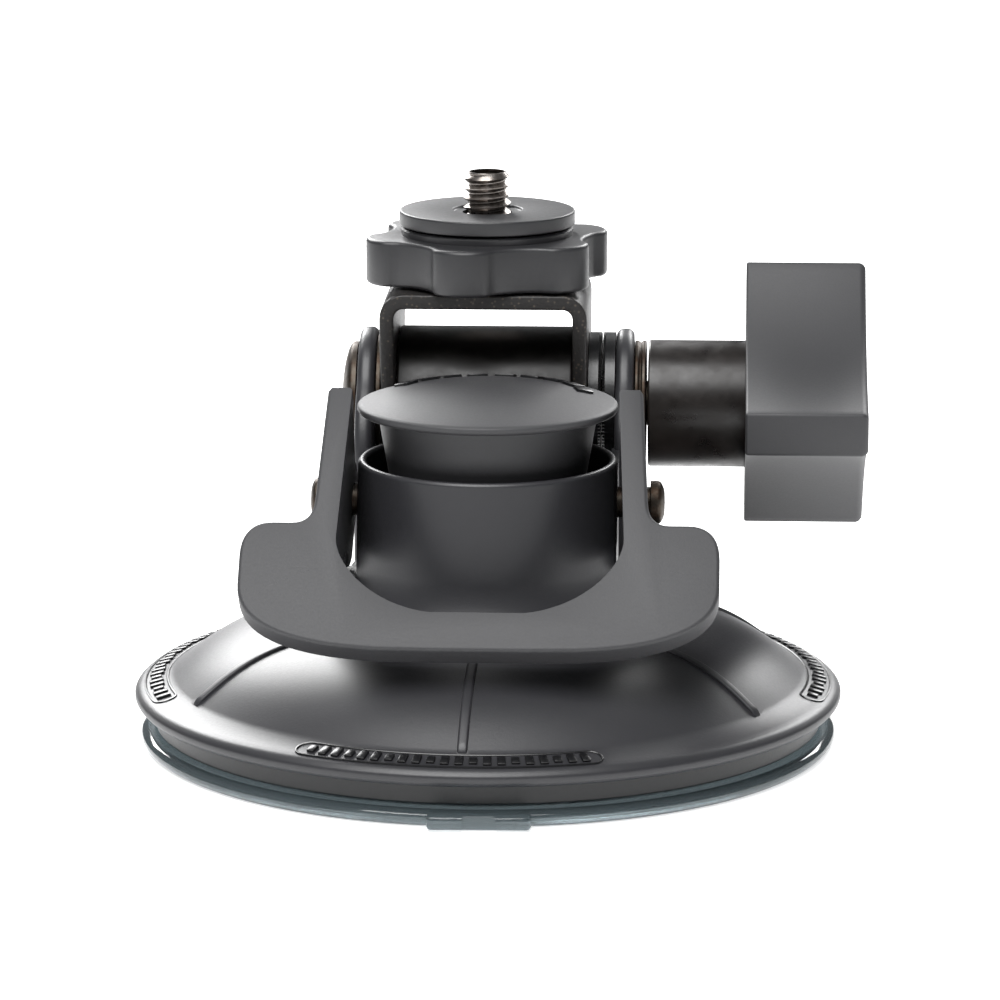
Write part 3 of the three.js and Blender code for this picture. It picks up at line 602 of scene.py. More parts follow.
class MOUNT_OT_membrane(bpy.types.Operator):
    """Clear soft membrane with a pull tab that has a finger arch"""

    bl_idname = "mount.membrane"
    bl_label = "Membrane"

    def execute(self, context):
        cup = context.scene.mount_cup
        top = high("suction_membrane").z
        edge = (high("suction_membrane").x - low("suction_membrane").x) / 2
        thick = cup.membrane_thickness
        insert = (high("membrane_insert").x - low("membrane_insert").x) / 2
        floor = low("membrane_insert").z - 0.3 * MM
        outline = fillet(
            [
                (0, 0),
                (edge - 0.7 * MM, 0, 0.5 * MM),
                (edge, 0.8 * MM, 0.6 * MM),
                (edge, thick - 0.7 * MM, 0.6 * MM),
                (edge - 0.9 * MM, thick, 0.6 * MM),
                (edge - 3.2 * MM, thick - 0.35 * MM, 0.8 * MM),
                (20 * MM, thick - 0.2 * MM, 3 * MM),
                (16 * MM, top, 0.6 * MM),
                (insert + 0.3 * MM, top, 0.2 * MM),
                (insert + 0.3 * MM, floor, 0.1 * MM),
                (0, floor),
            ],
            0.5 * MM,
        )
        disc = lathe("clear_membrane", outline)
        front = low("suction_membrane").y
        half = 6.4 * MM
        tab = block("tab", (-half, front, 0.2 * MM), (half, front + 4 * MM, 1.95 * MM))
        soften(tab, 0.5 * MM)
        arch = slab(
            "arch",
            [
                (-2.1 * MM, 0), *arc((0, 0.2 * MM), 2.1 * MM, 180, 0, 12),
                (2.1 * MM, -1 * MM), (-2.1 * MM, -1 * MM),
            ],
            0,
            1.1 * MM,
        )
        upright = Matrix.Rotation(math.pi / 2, 4, "X")
        place(arch, Matrix.Translation((0, front + 0.6 * MM, 1.0 * MM)) @ upright)
        combine(tab, arch)
        only(tab)
        bpy.ops.transform.rotate(value=math.radians(-1.3), orient_axis="Z", center_override=(0, 0, 0))
        bpy.ops.object.transform_apply()
        combine(disc, tab, operation="UNION")
        finish_piece(disc, "base", "clear_vinyl", "suction_membrane")
        return {"FINISHED"}


class MOUNT_OT_shell(bpy.types.Operator):
    """Moulded shell: rim, ribbed cone, open tower and the two ears of the tilt joint"""

    bl_idname = "mount.shell"
    bl_label = "Shell"

    def execute(self, context):
        cup, head = context.scene.mount_cup, context.scene.mount_head
        skirt, rim, z = cup.skirt_radius, cup.rim_radius, cup.rim_height
        foot = cup.membrane_thickness + 0.3 * MM
        outside = [
            (skirt, foot, 0.3 * MM),
            (skirt - 0.1 * MM, z - 1.3 * MM, 0.3 * MM),
            (rim - 0.7 * MM, z - 1.15 * MM, 0.4 * MM),
            (rim, z - 0.4 * MM, 0.5 * MM),
            (rim, z + 0.3 * MM, 0.5 * MM),
            (rim - 0.7 * MM, z + 0.95 * MM, 0.5 * MM),
            (rim - 1.5 * MM, z + 1.2 * MM, 0.5 * MM),
            *[(r, high_z, 0) for r, high_z in dome_outline(cup)],
            (cup.tower_radius, cup.tower_top - 0.35 * MM, 0.25 * MM),
            (cup.tower_radius - 0.35 * MM, cup.tower_top, 0.25 * MM),
            (cup.tower_bore + 0.25 * MM, cup.tower_top, 0.2 * MM),
            (cup.tower_bore, cup.tower_top - 0.4 * MM, 0.2 * MM),
        ]
        guide, guide_low, guide_wall, floor_low = 6.25 * MM, 15 * MM, 8.2 * MM, cup.tower_floor - 3 * MM
        drop = cup.wall * 1.15
        under_dome = [(r - MM, high_z - drop) for r, high_z in reversed(dome_outline(cup)[2:14:3])]
        inside = [
            (cup.tower_bore, cup.tower_floor),
            (guide, cup.tower_floor),
            (guide, guide_low),
            (guide_wall, guide_low),
            (guide_wall, floor_low),
            (15.2 * MM, floor_low),
            (17 * MM, 15.7 * MM),
            *under_dome,
            (skirt - cup.wall, z),
        ]
        start = (skirt - cup.wall, foot)
        outline = fillet([start, *outside, *inside, start], 0.3 * MM, 5)
        body = lathe("shell_moulding", outline[:-1])
        self.add_ribs(body, cup)
        self.add_sides(body, cup, head)
        self.cut_openings(body, cup, head)
        finish_piece(body, "base", "shell_plastic", "base_shell")
        return {"FINISHED"}

    def add_ribs(self, body, cup):
        """Six low radial ribs that follow the dome and fade out at the ledge."""
        line = dome_outline(cup)[:26]
        top = [(r + 0.5 * cup.rib_height, z + cup.rib_height) for r, z in line[1:]]
        root = [(r - 0.6 * MM, z - 0.6 * MM) for r, z in reversed(line)]
        half = cup.rib_width / 2
        for i in range(RIB_COUNT):
            rib = slab("rib", [line[0], *top, *root], -half, half)
            soften(rib, 0.28 * MM, 3, 60)
            turn = Matrix.Rotation(math.radians(RIB_TURN + 360 / RIB_COUNT * i), 4, "Z")
            combine(body, place(rib, turn @ Matrix.Rotation(math.pi / 2, 4, "X")), operation="UNION")

    def add_sides(self, body, cup, head):
        """On each side an ear with a round eye, a web that ties it to the tower, and a pad for the cam."""
        y, z = TILT.y, TILT.z
        front, foot = EAR_FRONT, EAR_FOOT
        start = (y + polar(head.eye, 150)[0], z + polar(head.eye, 150)[1])
        shape = [(front, foot), (front, z - 5 * MM)]
        shape += bezier(shape[-1], (front + 1 * MM, z), (start[0] - 4 * MM, start[1] - 3 * MM), start, 8)
        shape += arc((y, z), head.eye, 150, -20, 32)[1:]
        shape += [(y + 3 * MM, foot - 5.2 * MM)]
        tower = cup.tower_radius
        for side in (-1, 1):
            x = sorted((side * EAR_IN, side * (EAR_IN + head.ear)))
            ear = soften(side_slab("ear", shape, *x), 0.95 * MM, 5, 50)
            x = sorted((side * cup.tower_bore, side * tower))
            web = block("web", (x[0], 5 * MM, foot), (x[1], 14 * MM, cup.tower_top - 1.6 * MM))
            x = sorted((side * (tower - MM), side * (tower + 4.2 * MM)))
            pad = block("pad", (x[0], -7.5 * MM, 16.2 * MM), (x[1], 0.6 * MM, cup.cam_pad))
            soften(pad, 0.3 * MM, 2)
            combine(body, ear, web, pad, operation="UNION")

    def cut_openings(self, body, cup, head):
        """The tower's bore, room for the lever's cheeks, the slots of its pin, and the bolt hole."""
        bore, top = cup.tower_bore, cup.tower_top + 2 * MM
        cutters = [lathe("bore", [(0, cup.tower_floor), (bore, cup.tower_floor), (bore, top), (0, top)])]
        low_pin = PIN.z - TRAVEL
        for side in (-1, 1):
            x = sorted((side * cup.tower_radius, side * 22.35 * MM))
            cutters.append(block("cheek", (x[0], -9 * MM, cup.cam_pad + 0.01 * MM), (x[1], 6.5 * MM, top)))
            x = sorted((side * 13.7 * MM, side * 19.5 * MM))
            slot_low = (x[0], -PIN_SLOT, low_pin - PIN_SLOT)
            slot_high = (x[1], PIN_SLOT, PIN.z + PIN_SLOT)
            cutters.append(block("slot", slot_low, slot_high))
        cutters.append(rod("bolt_hole", head.bolt + HOLE_PLAY, -20 * MM, 20 * MM))
        combine(body, *cutters)


class MOUNT_OT_ledge_marks(bpy.types.Operator):
    """Three raised grip panels on the ledge: short bars in a rounded outline"""

    bl_idname = "mount.ledge_marks"
    bl_label = "Ledge marks"

    def execute(self, context):
        cup = context.scene.mount_cup
        drop = cup.ledge_height - cup.rim_height - 1.2 * MM
        slope = drop / (cup.rim_radius - 1.5 * MM - cup.ledge_radius)
        lean = math.atan(slope)

        def on_ledge(radius, degrees):
            x, y = polar(radius, degrees)
            return Vector((x, y, cup.ledge_height + (cup.ledge_radius - radius) * slope))

        inner, outer = cup.ledge_radius + 0.3 * MM, cup.rim_radius - 1.4 * MM
        middle, half_width = (inner + outer) / 2, (outer - inner) / 2
        pieces = []
        for centre, half_span in ((265.7, 24), (14, 27), (172, 27)):
            loop = [on_ledge(outer, centre + a) for a in range(-half_span, half_span + 1)]
            end_turn = math.degrees(half_width / middle)
            ends = [polar(1, 90 - a) for a in range(20, 180, 20)]
            loop += [
                on_ledge(middle + half_width * rise, centre + half_span + end_turn * past)
                for past, rise in ends
            ]
            loop += [on_ledge(inner, centre - a) for a in range(-half_span, half_span + 1)]
            loop += [
                on_ledge(middle - half_width * rise, centre - half_span - end_turn * past)
                for past, rise in ends
            ]
            pieces.append(self.outline(loop))
            for i in range(21):
                at = centre + (i - 10) * (half_span - 1) / 10
                pieces.append(self.bar(on_ledge(middle, at), at, lean, i))
        # The marks are coloured near-black as painted shade of their fine detail.
        finish_piece(join("ledge_marks", pieces), "base", "shell_plastic", material="dark nylon and painted shade")
        return {"FINISHED"}

    def outline(self, loop):
        """A thin raised line round one panel, half sunk in the ledge."""
        line = wire("mark_outline", loop, close=True)
        bpy.ops.object.mode_set(mode="OBJECT")
        only(line)
        bpy.ops.object.convert(target="CURVE")
        line = bpy.context.object
        line.data.bevel_depth = 0.17 * MM
        line.data.bevel_resolution = 2
        bpy.ops.object.convert(target="MESH")
        return bpy.context.object

    def bar(self, spot, direction, lean, index):
        """One short bar across the panel. Every third one is shorter."""
        long = (0.95 if index % 3 else 0.7) * MM
        bar = block("mark_bar", (-long, -0.52 * MM, -0.25 * MM), (long, 0.52 * MM, 0.32 * MM))
        soften(bar, 0.12 * MM, 2)
        turn = Matrix.Rotation(math.radians(direction), 4, "Z") @ Matrix.Rotation(lean, 4, "Y")
        return place(bar, Matrix.Translation(spot) @ turn)


class MOUNT_OT_push_cap(bpy.types.Operator):
    """Domed push cap on the plunger, with plain raised dashes round its back"""

    bl_idname = "mount.push_cap"
    bl_label = "Push cap"

    def execute(self, context):
        foot, top = low("push_cap").z, high("push_cap").z + 0.1 * MM
        edge = (high("push_cap").x - low("push_cap").x) / 2
        flange, crease, stud = 43.1 * MM, 44.2 * MM, 4.65 * MM
        socket_top = flange + 1.2 * MM
        dome_radius = edge - 0.25 * MM
        rise = top - crease
        ball = (dome_radius**2 + rise**2) / (2 * rise)

        def dome(radius):
            return top - ball + math.sqrt(ball**2 - radius**2)

        outline = fillet(
            [
                (stud, foot),
                (12.6 * MM, foot, 0.3 * MM),
                (14.2 * MM, flange - 0.2 * MM, 0.3 * MM),
                (edge - 0.3 * MM, flange, 0.25 * MM),
                (edge, flange + 0.35 * MM, 0.25 * MM),
                (edge, crease - 0.2 * MM, 0.25 * MM),
                (dome_radius - 0.2 * MM, dome(dome_radius - 0.2 * MM), 0.2 * MM),
                (dome_radius * 0.93, dome(dome_radius * 0.93)),
            ],
            0.3 * MM,
        )
        shares = (0.85, 0.75, 0.65, 0.5, 0.35, 0.2)
        outline += [(dome_radius * share, dome(dome_radius * share)) for share in shares]
        cap = lathe("push_cap_moulding", [*outline, (0, top), (0, socket_top), (stud, socket_top)])
        finish_piece(cap, "plunger", "lever_plastic", "push_cap")
        self.dashes(ball, dome)
        return {"FINISHED"}

    def dashes(self, ball, dome):
        """Plain raised dashes in an arc round the back of the dome."""
        radius, made = 12.6 * MM, []
        for turn in range(14, 167, 17):
            dash = block("dash", (-1.1 * MM, -1.3 * MM, -0.5 * MM), (1.1 * MM, 1.3 * MM, 0.32 * MM))
            soften(dash, 0.12 * MM, 2)
            lean = math.asin(radius / ball)
            spin = Matrix.Rotation(math.radians(turn), 4, "Z") @ Matrix.Rotation(lean, 4, "Y")
            made.append(place(dash, Matrix.Translation((*polar(radius, turn), dome(radius))) @ spin))
        finish_piece(join("cap_marks", made), "plunger", "lever_plastic", material="dark nylon and painted shade")


class MOUNT_OT_lever(bpy.types.Operator):
    """Cam lever: a wide thumb plate below an open bow, two arms, and cheeks down to the cams"""

    bl_idname = "mount.lever"
    bl_label = "Cam lever"

    def execute(self, context):
        size = context.scene.mount_lever
        slope = math.radians(LEVER_SLOPE)
        up = Vector((0, math.cos(slope), math.sin(slope)))
        out = Vector((0, -math.sin(slope), math.cos(slope)))
        stance = Matrix((
            (1, 0, 0, 0),
            (0, up.y, out.y, -33 * MM),
            (0, up.z, out.z, 19.8 * MM),
            (0, 0, 0, 1),
        ))
        right = self.half_outline(size)
        left = [(-x, y) for x, y in reversed(right)]
        plate = slab("cam_lever_moulding", [*right, *left], -size.plate, 0)
        self.round_edges(plate, size)
        cheek = self.cheek_outline(size, stance.inverted())
        for side in (-1, 1):
            x0, x1 = sorted((side * size.arm_gap, side * (size.arm_gap + size.arm)))
            side_plate = soften(side_slab("cheek", cheek, x0, x1), 0.45 * MM, 3, 50)
            combine(plate, side_plate, operation="UNION")
        self.splay(plate, size)
        place(plate, stance)
        combine(plate, rod("pin_hole", PIN_SHANK + HOLE_PLAY, -30 * MM, 30 * MM, PIN))
        finish_piece(plate, "lever", "lever_plastic", "cam_lever", angle=28)
        return {"FINISHED"}

    def half_outline(self, size):
        """The right half of the face, from the middle of its lower edge round to the middle of the bow."""
        w, h, top = size.wing, size.wing_length, size.span
        arm_in, arm_out = size.arm_gap, size.arm_gap + size.arm
        points = [(6 * MM, -0.45 * MM), (12 * MM, -0.35 * MM)]
        points += bezier(points[-1], (23 * MM, 0.4 * MM), (w, 3.3 * MM), (w, h / 2), 18)
        points += [(w, h - 5 * MM)]
        points += bezier(points[-1], (w, h - 1.4 * MM), (w - 1.6 * MM, h), (w - 4 * MM, h), 10)
        points += [(arm_out + 2.6 * MM, h)]
        points += bezier(points[-1], (arm_out + MM, h), (arm_out, h + MM), (arm_out, h + 3.4 * MM), 8)
        points += [(arm_out, top - 0.5 * MM), (arm_out - 0.5 * MM, top)]
        points += [(arm_in + 0.3 * MM, top), (arm_in, top - 0.3 * MM)]
        points += [(arm_in, h - 2.3 * MM)]
        bow = size.bow
        bow_pull, bow_end = (arm_in - 4.6 * MM, bow + 0.6 * MM), (arm_in - 11.2 * MM, bow)
        points += bezier(points[-1], (arm_in, bow + 6.8 * MM), bow_pull, bow_end, 18)
        points += [(3 * MM, bow)]
        return points

    def round_edges(self, plate, size):
        """A full round on the front of the outer edge, and a small one on the bow and the back."""
        arm_out = size.arm_gap + size.arm - 0.2 * MM

        def outer(a, b):
            middle = (a + b) / 2
            return abs(a.z - b.z) < 1e-7 and (middle.y < 1.2 * MM or abs(middle.x) > arm_out)

        bevel_where(plate, size.edge, 5, outer)
        soften(plate, 0.3 * MM, 3, 60)

    def cheek_outline(self, size, to_face):
        """A cheek seen from the side as (up the slope, out of the face), with its boss and cam."""
        pin = to_face @ PIN
        drop, front = polar(CAM_LIFT, CAM_TURN)
        cam = to_face @ (PIN + Vector((0, -front, -drop)))
        boss = 5 * MM
        h, top, depth = size.wing_length, size.span, 4.6 * MM
        shape = [(h - 5 * MM, -0.5 * MM), (top - 0.9 * MM, -0.5 * MM), (top - 0.05 * MM, -1.5 * MM)]
        shape += [(top - 0.05 * MM, -depth + 1 * MM), (top - 1 * MM, -depth)]
        shape += arc((pin.y, pin.z), boss, 35, -105, 20)
        shape += arc((cam.y, cam.z), boss, -105, -200, 14)
        heel = (h - 5 * MM, -size.plate + 0.2 * MM)
        shape += bezier(shape[-1], (h - 0.5 * MM, -11 * MM), (h - 3.5 * MM, -6 * MM), heel, 8)
        return shape

    def splay(self, plate, size):
        """Stands the arms a little wider apart towards the thumb plate."""
        for corner in plate.data.vertices:
            x, y = corner.co.x, corner.co.y
            wide = 0.05 * min(size.span - y, size.span - size.wing_length)
            along = min(1, max(0, (abs(x) - size.arm_gap / 2) / (size.arm_gap / 2)))
            corner.co.x = x + math.copysign(wide * along, x)


class MOUNT_OT_pins(bpy.types.Operator):
    """Headed lever pin and its push-on retainer, with domed ends"""

    bl_idname = "mount.pins"
    bl_label = "Lever pin"

    def execute(self, context):
        x0, x1 = low("lever_pin").x, high("lever_pin").x
        head, shank = PIN_HEAD, PIN_SHANK
        shape = fillet(
            [
                (0, x0), (head * 0.62, x0 + 0.06 * MM, 0.5 * MM), (head, x0 + 0.55 * MM, 0.4 * MM),
                (head, x0 + 1.9 * MM, 0.15 * MM), (shank, x0 + 1.9 * MM, 0.1 * MM),
                (shank, x1 - 0.2 * MM, 0.2 * MM),
                (shank - 0.3 * MM, x1, 0.1 * MM), (0, x1),
            ],
            0.2 * MM,
        )
        finish_piece(lathe_x("headed_pin", shape, PIN), "plunger", "worn_steel", "lever_pin")
        c0, c1 = low("pin_retainer").x, high("pin_retainer").x
        shape = fillet(
            [
                (shank + 0.15 * MM, c0), (head, c0, 0.15 * MM), (head, c1 - 0.6 * MM, 0.4 * MM),
                (head * 0.6, c1 - 0.05 * MM, 0.5 * MM), (0, c1),
            ],
            0.2 * MM,
        )
        shape += [(0, c0 + 1.2 * MM), (shank + 0.15 * MM, c0 + 1.2 * MM)]
        finish_piece(lathe_x("pin_push_cap", shape, PIN), "plunger", "worn_steel", "pin_retainer")
        return {"FINISHED"}


class MOUNT_OT_bracket(bpy.types.Operator):
    """Folded steel U-bracket with rounded feet"""

    bl_idname = "mount.bracket"
    bl_label = "Bracket"

    def execute(self, context):
        head = context.scene.mount_head
        (x0, y0, z0), (x1, y1, z1) = low("u_bracket"), high("u_bracket")
        t, r = head.sheet, head.bend
        foot = z0 - 3 * MM
        section = [(x0, foot), (x0 + t, foot)]
        section += arc((x0 + r, z1 - r), r - t, 180, 90, 8)
        section += arc((x1 - r, z1 - r), r - t, 90, 0, 8)
        section += [(x1 - t, foot), (x1, foot)]
        section += arc((x1 - r, z1 - r), r, 0, 90, 10)
        section += arc((x0 + r, z1 - r), r, 90, 180, 10)
        strip = slab("bracket_sheet", section, y0, y1)
        place(strip, Matrix.Rotation(math.pi / 2, 4, "X") @ Matrix.Scale(-1, 4, (0, 0, 1)))
        bpy.ops.object.mode_set(mode="EDIT")
        tidy_mesh()
        reach = TILT.z - z0
        side = [(y0, z1 + 1 * MM), (y0, z1 - 5 * MM)]
        side += arc((TILT.y, TILT.z), reach, 180, 360, 32)
        side += [(y1, z1 - 5 * MM), (y1, z1 + 1 * MM)]
        combine(strip, side_slab("side", side, x0 - 1 * MM, x1 + 1 * MM), operation="INTERSECT")
        hole = lathe(
            "screw_hole",
            [(0, z1 - t - 1 * MM), (5.05 * MM, z1 - t - 1 * MM), (5.05 * MM, z1 - t + 1.1 * MM),
             (3.43 * MM, z1 - t + 1.1 * MM), (3.43 * MM, z1 + 1 * MM), (0, z1 + 1 * MM)],
            (SEAT.x, SEAT.y, 0),
            steps=48,
        )
        combine(strip, rod("bolt_hole", head.bolt + HOLE_PLAY, x0 - 2 * MM, x1 + 2 * MM), hole)
        soften(strip, 0.3 * MM, 3, 40)
        finish_piece(strip, "head", "black_coat", "u_bracket")
        return {"FINISHED"}


class MOUNT_OT_tilt_stack(bpy.types.Operator):
    """Everything threaded on the tilt bolt: barrel, washers, collar and sleeve"""

    bl_idname = "mount.tilt_stack"
    bl_label = "Tilt stack"

    def ring(self, name, node, body, slot, bore, edge, material=None, groove=False):
        """A turned ring the size of its CAD node, with rounded rims and maybe a groove round its middle."""
        x0, x1 = low(node).x, high(node).x
        radius = (high(node).z - low(node).z) / 2
        outer = [(radius, x0, edge), (radius, x1, edge)]
        if groove:
            middle = (x0 + x1) / 2
            outer[1:1] = [
                (radius, middle - 0.3 * MM, 0.1 * MM), (radius - 0.3 * MM, middle, 0.1 * MM),
                (radius, middle + 0.3 * MM, 0.1 * MM),
            ]
        shape = fillet([(bore, x0), *outer, (bore, x1)], edge, 5)
        piece = lathe_x(name, shape, steps=96)
        return finish_piece(piece, body, slot, node, material=material)

    def toothed(self, name, node, body):
        """A locking washer whose rim is cut with small saw teeth towards its partner."""
        x0, x1 = low(node).x, high(node).x
        radius = (high(node).z - low(node).z) / 2
        count = 120
        rim = [polar(radius if i % 2 else radius - 0.4 * MM, 180 * i / count) for i in range(2 * count)]
        piece = side_slab(name, [(TILT.y + y, TILT.z + z) for y, z in rim], x0, x1)
        smooth_x = (x0, x1 - 0.35 * MM) if body == "head" else (x0 + 0.35 * MM, x1)
        band = rod("band", radius, *smooth_x, steps=96)
        combine(piece, band, operation="UNION")
        combine(piece, rod("hole", 3.15 * MM, x0 - MM, x1 + MM))
        finish_piece(piece, body, "black_plastic", node, material="dark nylon and painted shade")

    def execute(self, context):
        bore = context.scene.mount_head.bolt + HOLE_PLAY
        paint_name, zinc = "painted black barrel", "dulled zinc plate"
        self.ring("painted_barrel", "pivot_barrel", "head", "black_coat", bore, 0.4 * MM, paint_name)
        self.ring("flat_washer", "friction_washer", "head", "bright_steel", bore, 0.12 * MM, zinc)
        self.toothed("tooth_washer_in", "inner_tooth_washer", "head")
        self.toothed("tooth_washer_out", "outer_tooth_washer", "base")
        self.ring("steel_collar", "thrust_collar", "clamp_collar", "worn_steel", bore, 0.25 * MM, groove=True)
        self.ring("black_sleeve", "knob_sleeve", "knob", "black_plastic", 5.1 * MM, 0.35 * MM)
        self.bolt(bore)
        return {"FINISHED"}

    def bolt(self, bore):
        """Tilt bolt with a low domed head."""
        x0, x1 = low("tilt_bolt").x, high("tilt_bolt").x
        radius = (high("tilt_bolt").z - low("tilt_bolt").z) / 2
        shank = bore - HOLE_PLAY
        seat = x0 + 2.2 * MM
        turns = [polar(1, a) for a in range(90, -1, -6)]
        dome = [(radius * out, seat - 0.5 * MM - 1.7 * MM * up) for out, up in turns]
        point = [(shank, x1 - 0.8 * MM), (shank - 0.8 * MM, x1), (0, x1)]
        shape = [*dome, (radius, seat), (shank, seat), *point]
        finish_piece(lathe_x("domed_bolt", shape, steps=96), "base", "worn_steel", "tilt_bolt")


class MOUNT_OT_knob(bpy.types.Operator):
    """Three-lobed tilt knob with hollow flanks"""

    bl_idname = "mount.knob"
    bl_label = "Tilt knob"

    def execute(self, context):
        head = context.scene.mount_head
        x0, x1 = low("tilt_knob").x, high("tilt_knob").x
        shape = []
        for i in range(3):
            at = -179 + 120 * i
            tip, side = Vector(polar(1, at)), Vector(polar(1, at + 90))
            tip_next, side_next = Vector(polar(1, at + 120)), Vector(polar(1, at + 210))
            start = tip * head.knob_radius + side * 2.8 * MM
            end = tip_next * head.knob_radius - side_next * 2.8 * MM
            waist = Vector(polar(head.knob_waist, at + 60))
            control = waist * 2 - (start + end) / 2
            for step in range(25):
                t = step / 24
                shape.append(tuple(start * (1 - t) ** 2 + control * 2 * t * (1 - t) + end * t * t))
        knob = side_slab("lobed_knob", [(TILT.y + y, TILT.z + z) for y, z in shape], x0, x1)
        bevel_where(knob, head.knob_edge, 5, lambda a, b: min(a.x, b.x) > x1 - 1e-6)
        soften(knob, 0.35 * MM, 3, 40)
        sleeve = 8.8 * MM
        seat = rod("seat", sleeve, x0 - MM, x0 + 2.9 * MM, steps=96)
        combine(knob, seat, rod("bush_hole", 5.1 * MM, x0, x1 - 3.1 * MM))
        finish_piece(knob, "knob", "lever_plastic", "tilt_knob")
        return {"FINISHED"}


class MOUNT_OT_camera_seat(bpy.types.Operator):
    """Camera screw, lock ring and pad"""

    bl_idname = "mount.camera_seat"
    bl_label = "Camera seat"

    def execute(self, context):
        head = context.scene.mount_head
        self.ring(head)
        self.pad()
        self.screw(head)
        return {"FINISHED"}

    def ring(self, head):
        """Six-lobed lock ring with a raised boss."""
        z0, z1 = low("lock_ring").z, high("lock_ring").z
        boss, bore = 11.5 * MM, 5.9 * MM
        count = 192
        outline = []
        for i in range(count):
            phase = math.cos(math.radians(6 * i * 360 / count))
            swell = math.copysign(abs(phase) ** 0.6, phase)
            mean = (head.star_radius + head.star_valley) / 2
            half_lobe = (head.star_radius - head.star_valley) / 2
            radius = mean + half_lobe * swell
            x, y = polar(radius, 19 + i * 360 / count)
            outline.append((SEAT.x + x, SEAT.y + y))
        ring = slab("star_lock_ring", outline, z0, z1 - MM)
        soften(ring, 0.55 * MM, 4, 60)
        raised = [(0, z0 + MM), (boss, z0 + MM), (boss, z1 - 0.25 * MM), (boss - 0.25 * MM, z1), (0, z1)]
        combine(ring, lathe("boss", raised, (SEAT.x, SEAT.y, 0)), operation="UNION")
        hole = [(0, z0 - MM), (bore, z0 - MM), (bore, z1 + MM), (0, z1 + MM)]
        combine(ring, lathe("nut_hole", hole, (SEAT.x, SEAT.y, 0), steps=48))
        finish_piece(ring, "lock_ring", "ring_plastic", "lock_ring")

    def pad(self):
        """Flat round pad with a turned dish round the screw."""
        z0, z1 = low("camera_pad").z, high("camera_pad").z
        radius = (high("camera_pad").x - low("camera_pad").x) / 2
        hole = 3.32 * MM
        shape = fillet(
            [
                (hole, z0), (radius, z0, 0.2 * MM), (radius, z1, 0.3 * MM), (hole + 1.4 * MM, z1, 0.1 * MM),
                (hole + 1.2 * MM, z1 - 0.35 * MM, 0.1 * MM), (hole, z1 - 0.35 * MM),
            ],
            0.2 * MM,
        )
        finish_piece(lathe("round_pad", shape, (SEAT.x, SEAT.y, 0)), "pad", "ring_plastic", "camera_pad")

    def screw(self, head):
        """Camera screw with its thread cut all the way up."""
        z0, z1 = low("camera_screw").z, high("camera_screw").z
        root = head.thread - 0.72 * MM
        centre = (SEAT.x, SEAT.y, 0)
        core = lathe(
            "threaded_screw",
            [(0, z0), (4.8 * MM, z0), (4.8 * MM, z0 + 0.8 * MM), (root, z0 + 0.8 * MM), (root, z1), (0, z1)],
            centre,
            steps=SMALL_STEPS,
        )
        start = z1 - 8.6 * MM
        pitch = head.pitch
        tooth = wire(
            "thread",
            [Vector((root - 0.2 * MM, 0, start)), Vector((root, 0, start)),
             Vector((head.thread, 0, start + pitch * 0.42)),
             Vector((head.thread, 0, start + pitch * 0.52)), Vector((root, 0, start + pitch * 0.92)),
             Vector((root - 0.2 * MM, 0, start + pitch * 0.92))],
            close=True,
        )
        bpy.ops.object.mode_set(mode="OBJECT")
        coil = tooth.modifiers.new("coil", "SCREW")
        coil.axis = "Z"
        coil.steps = coil.render_steps = 48
        coil.iterations = 7
        coil.screw_offset = pitch
        coil.use_merge_vertices = False
        only(tooth)
        bpy.ops.object.modifier_apply(modifier=coil.name)
        bpy.ops.object.mode_set(mode="EDIT")
        bpy.ops.mesh.select_all(action="DESELECT")
        bpy.ops.mesh.select_mode(type="VERT")
        bpy.ops.mesh.select_non_manifold()
        bpy.ops.mesh.fill_holes(sides=0)
        bpy.ops.mesh.select_all(action="SELECT")
        bpy.ops.transform.translate(value=centre)
        tidy_mesh()
        combine(core, tooth, operation="UNION")
        top = [(0, z0 - MM), (6 * MM, z0 - MM), (6 * MM, z0 + MM), (head.thread, z0 + MM),
               (head.thread, z1 - 0.9 * MM), (root, z1), (0, z1)]
        combine(core, lathe("trim", top, centre), operation="INTERSECT")
        finish_piece(core, "head", "bright_steel", "camera_screw", angle=40)


class MOUNT_OT_inner_parts(bpy.types.Operator):
    """Finishes of the pieces inside that keep their CAD shape"""

    bl_idname = "mount.inner_parts"
    bl_label = "Inner parts"

    def execute(self, context):
        names = finishes()
        slots = {part["node"]: part["material_slot"] for part in frame["record"]["subparts"]}
        for node, piece in frame["nodes"].items():
            paint(piece, names[slots[node]])
        return {"FINISHED"}


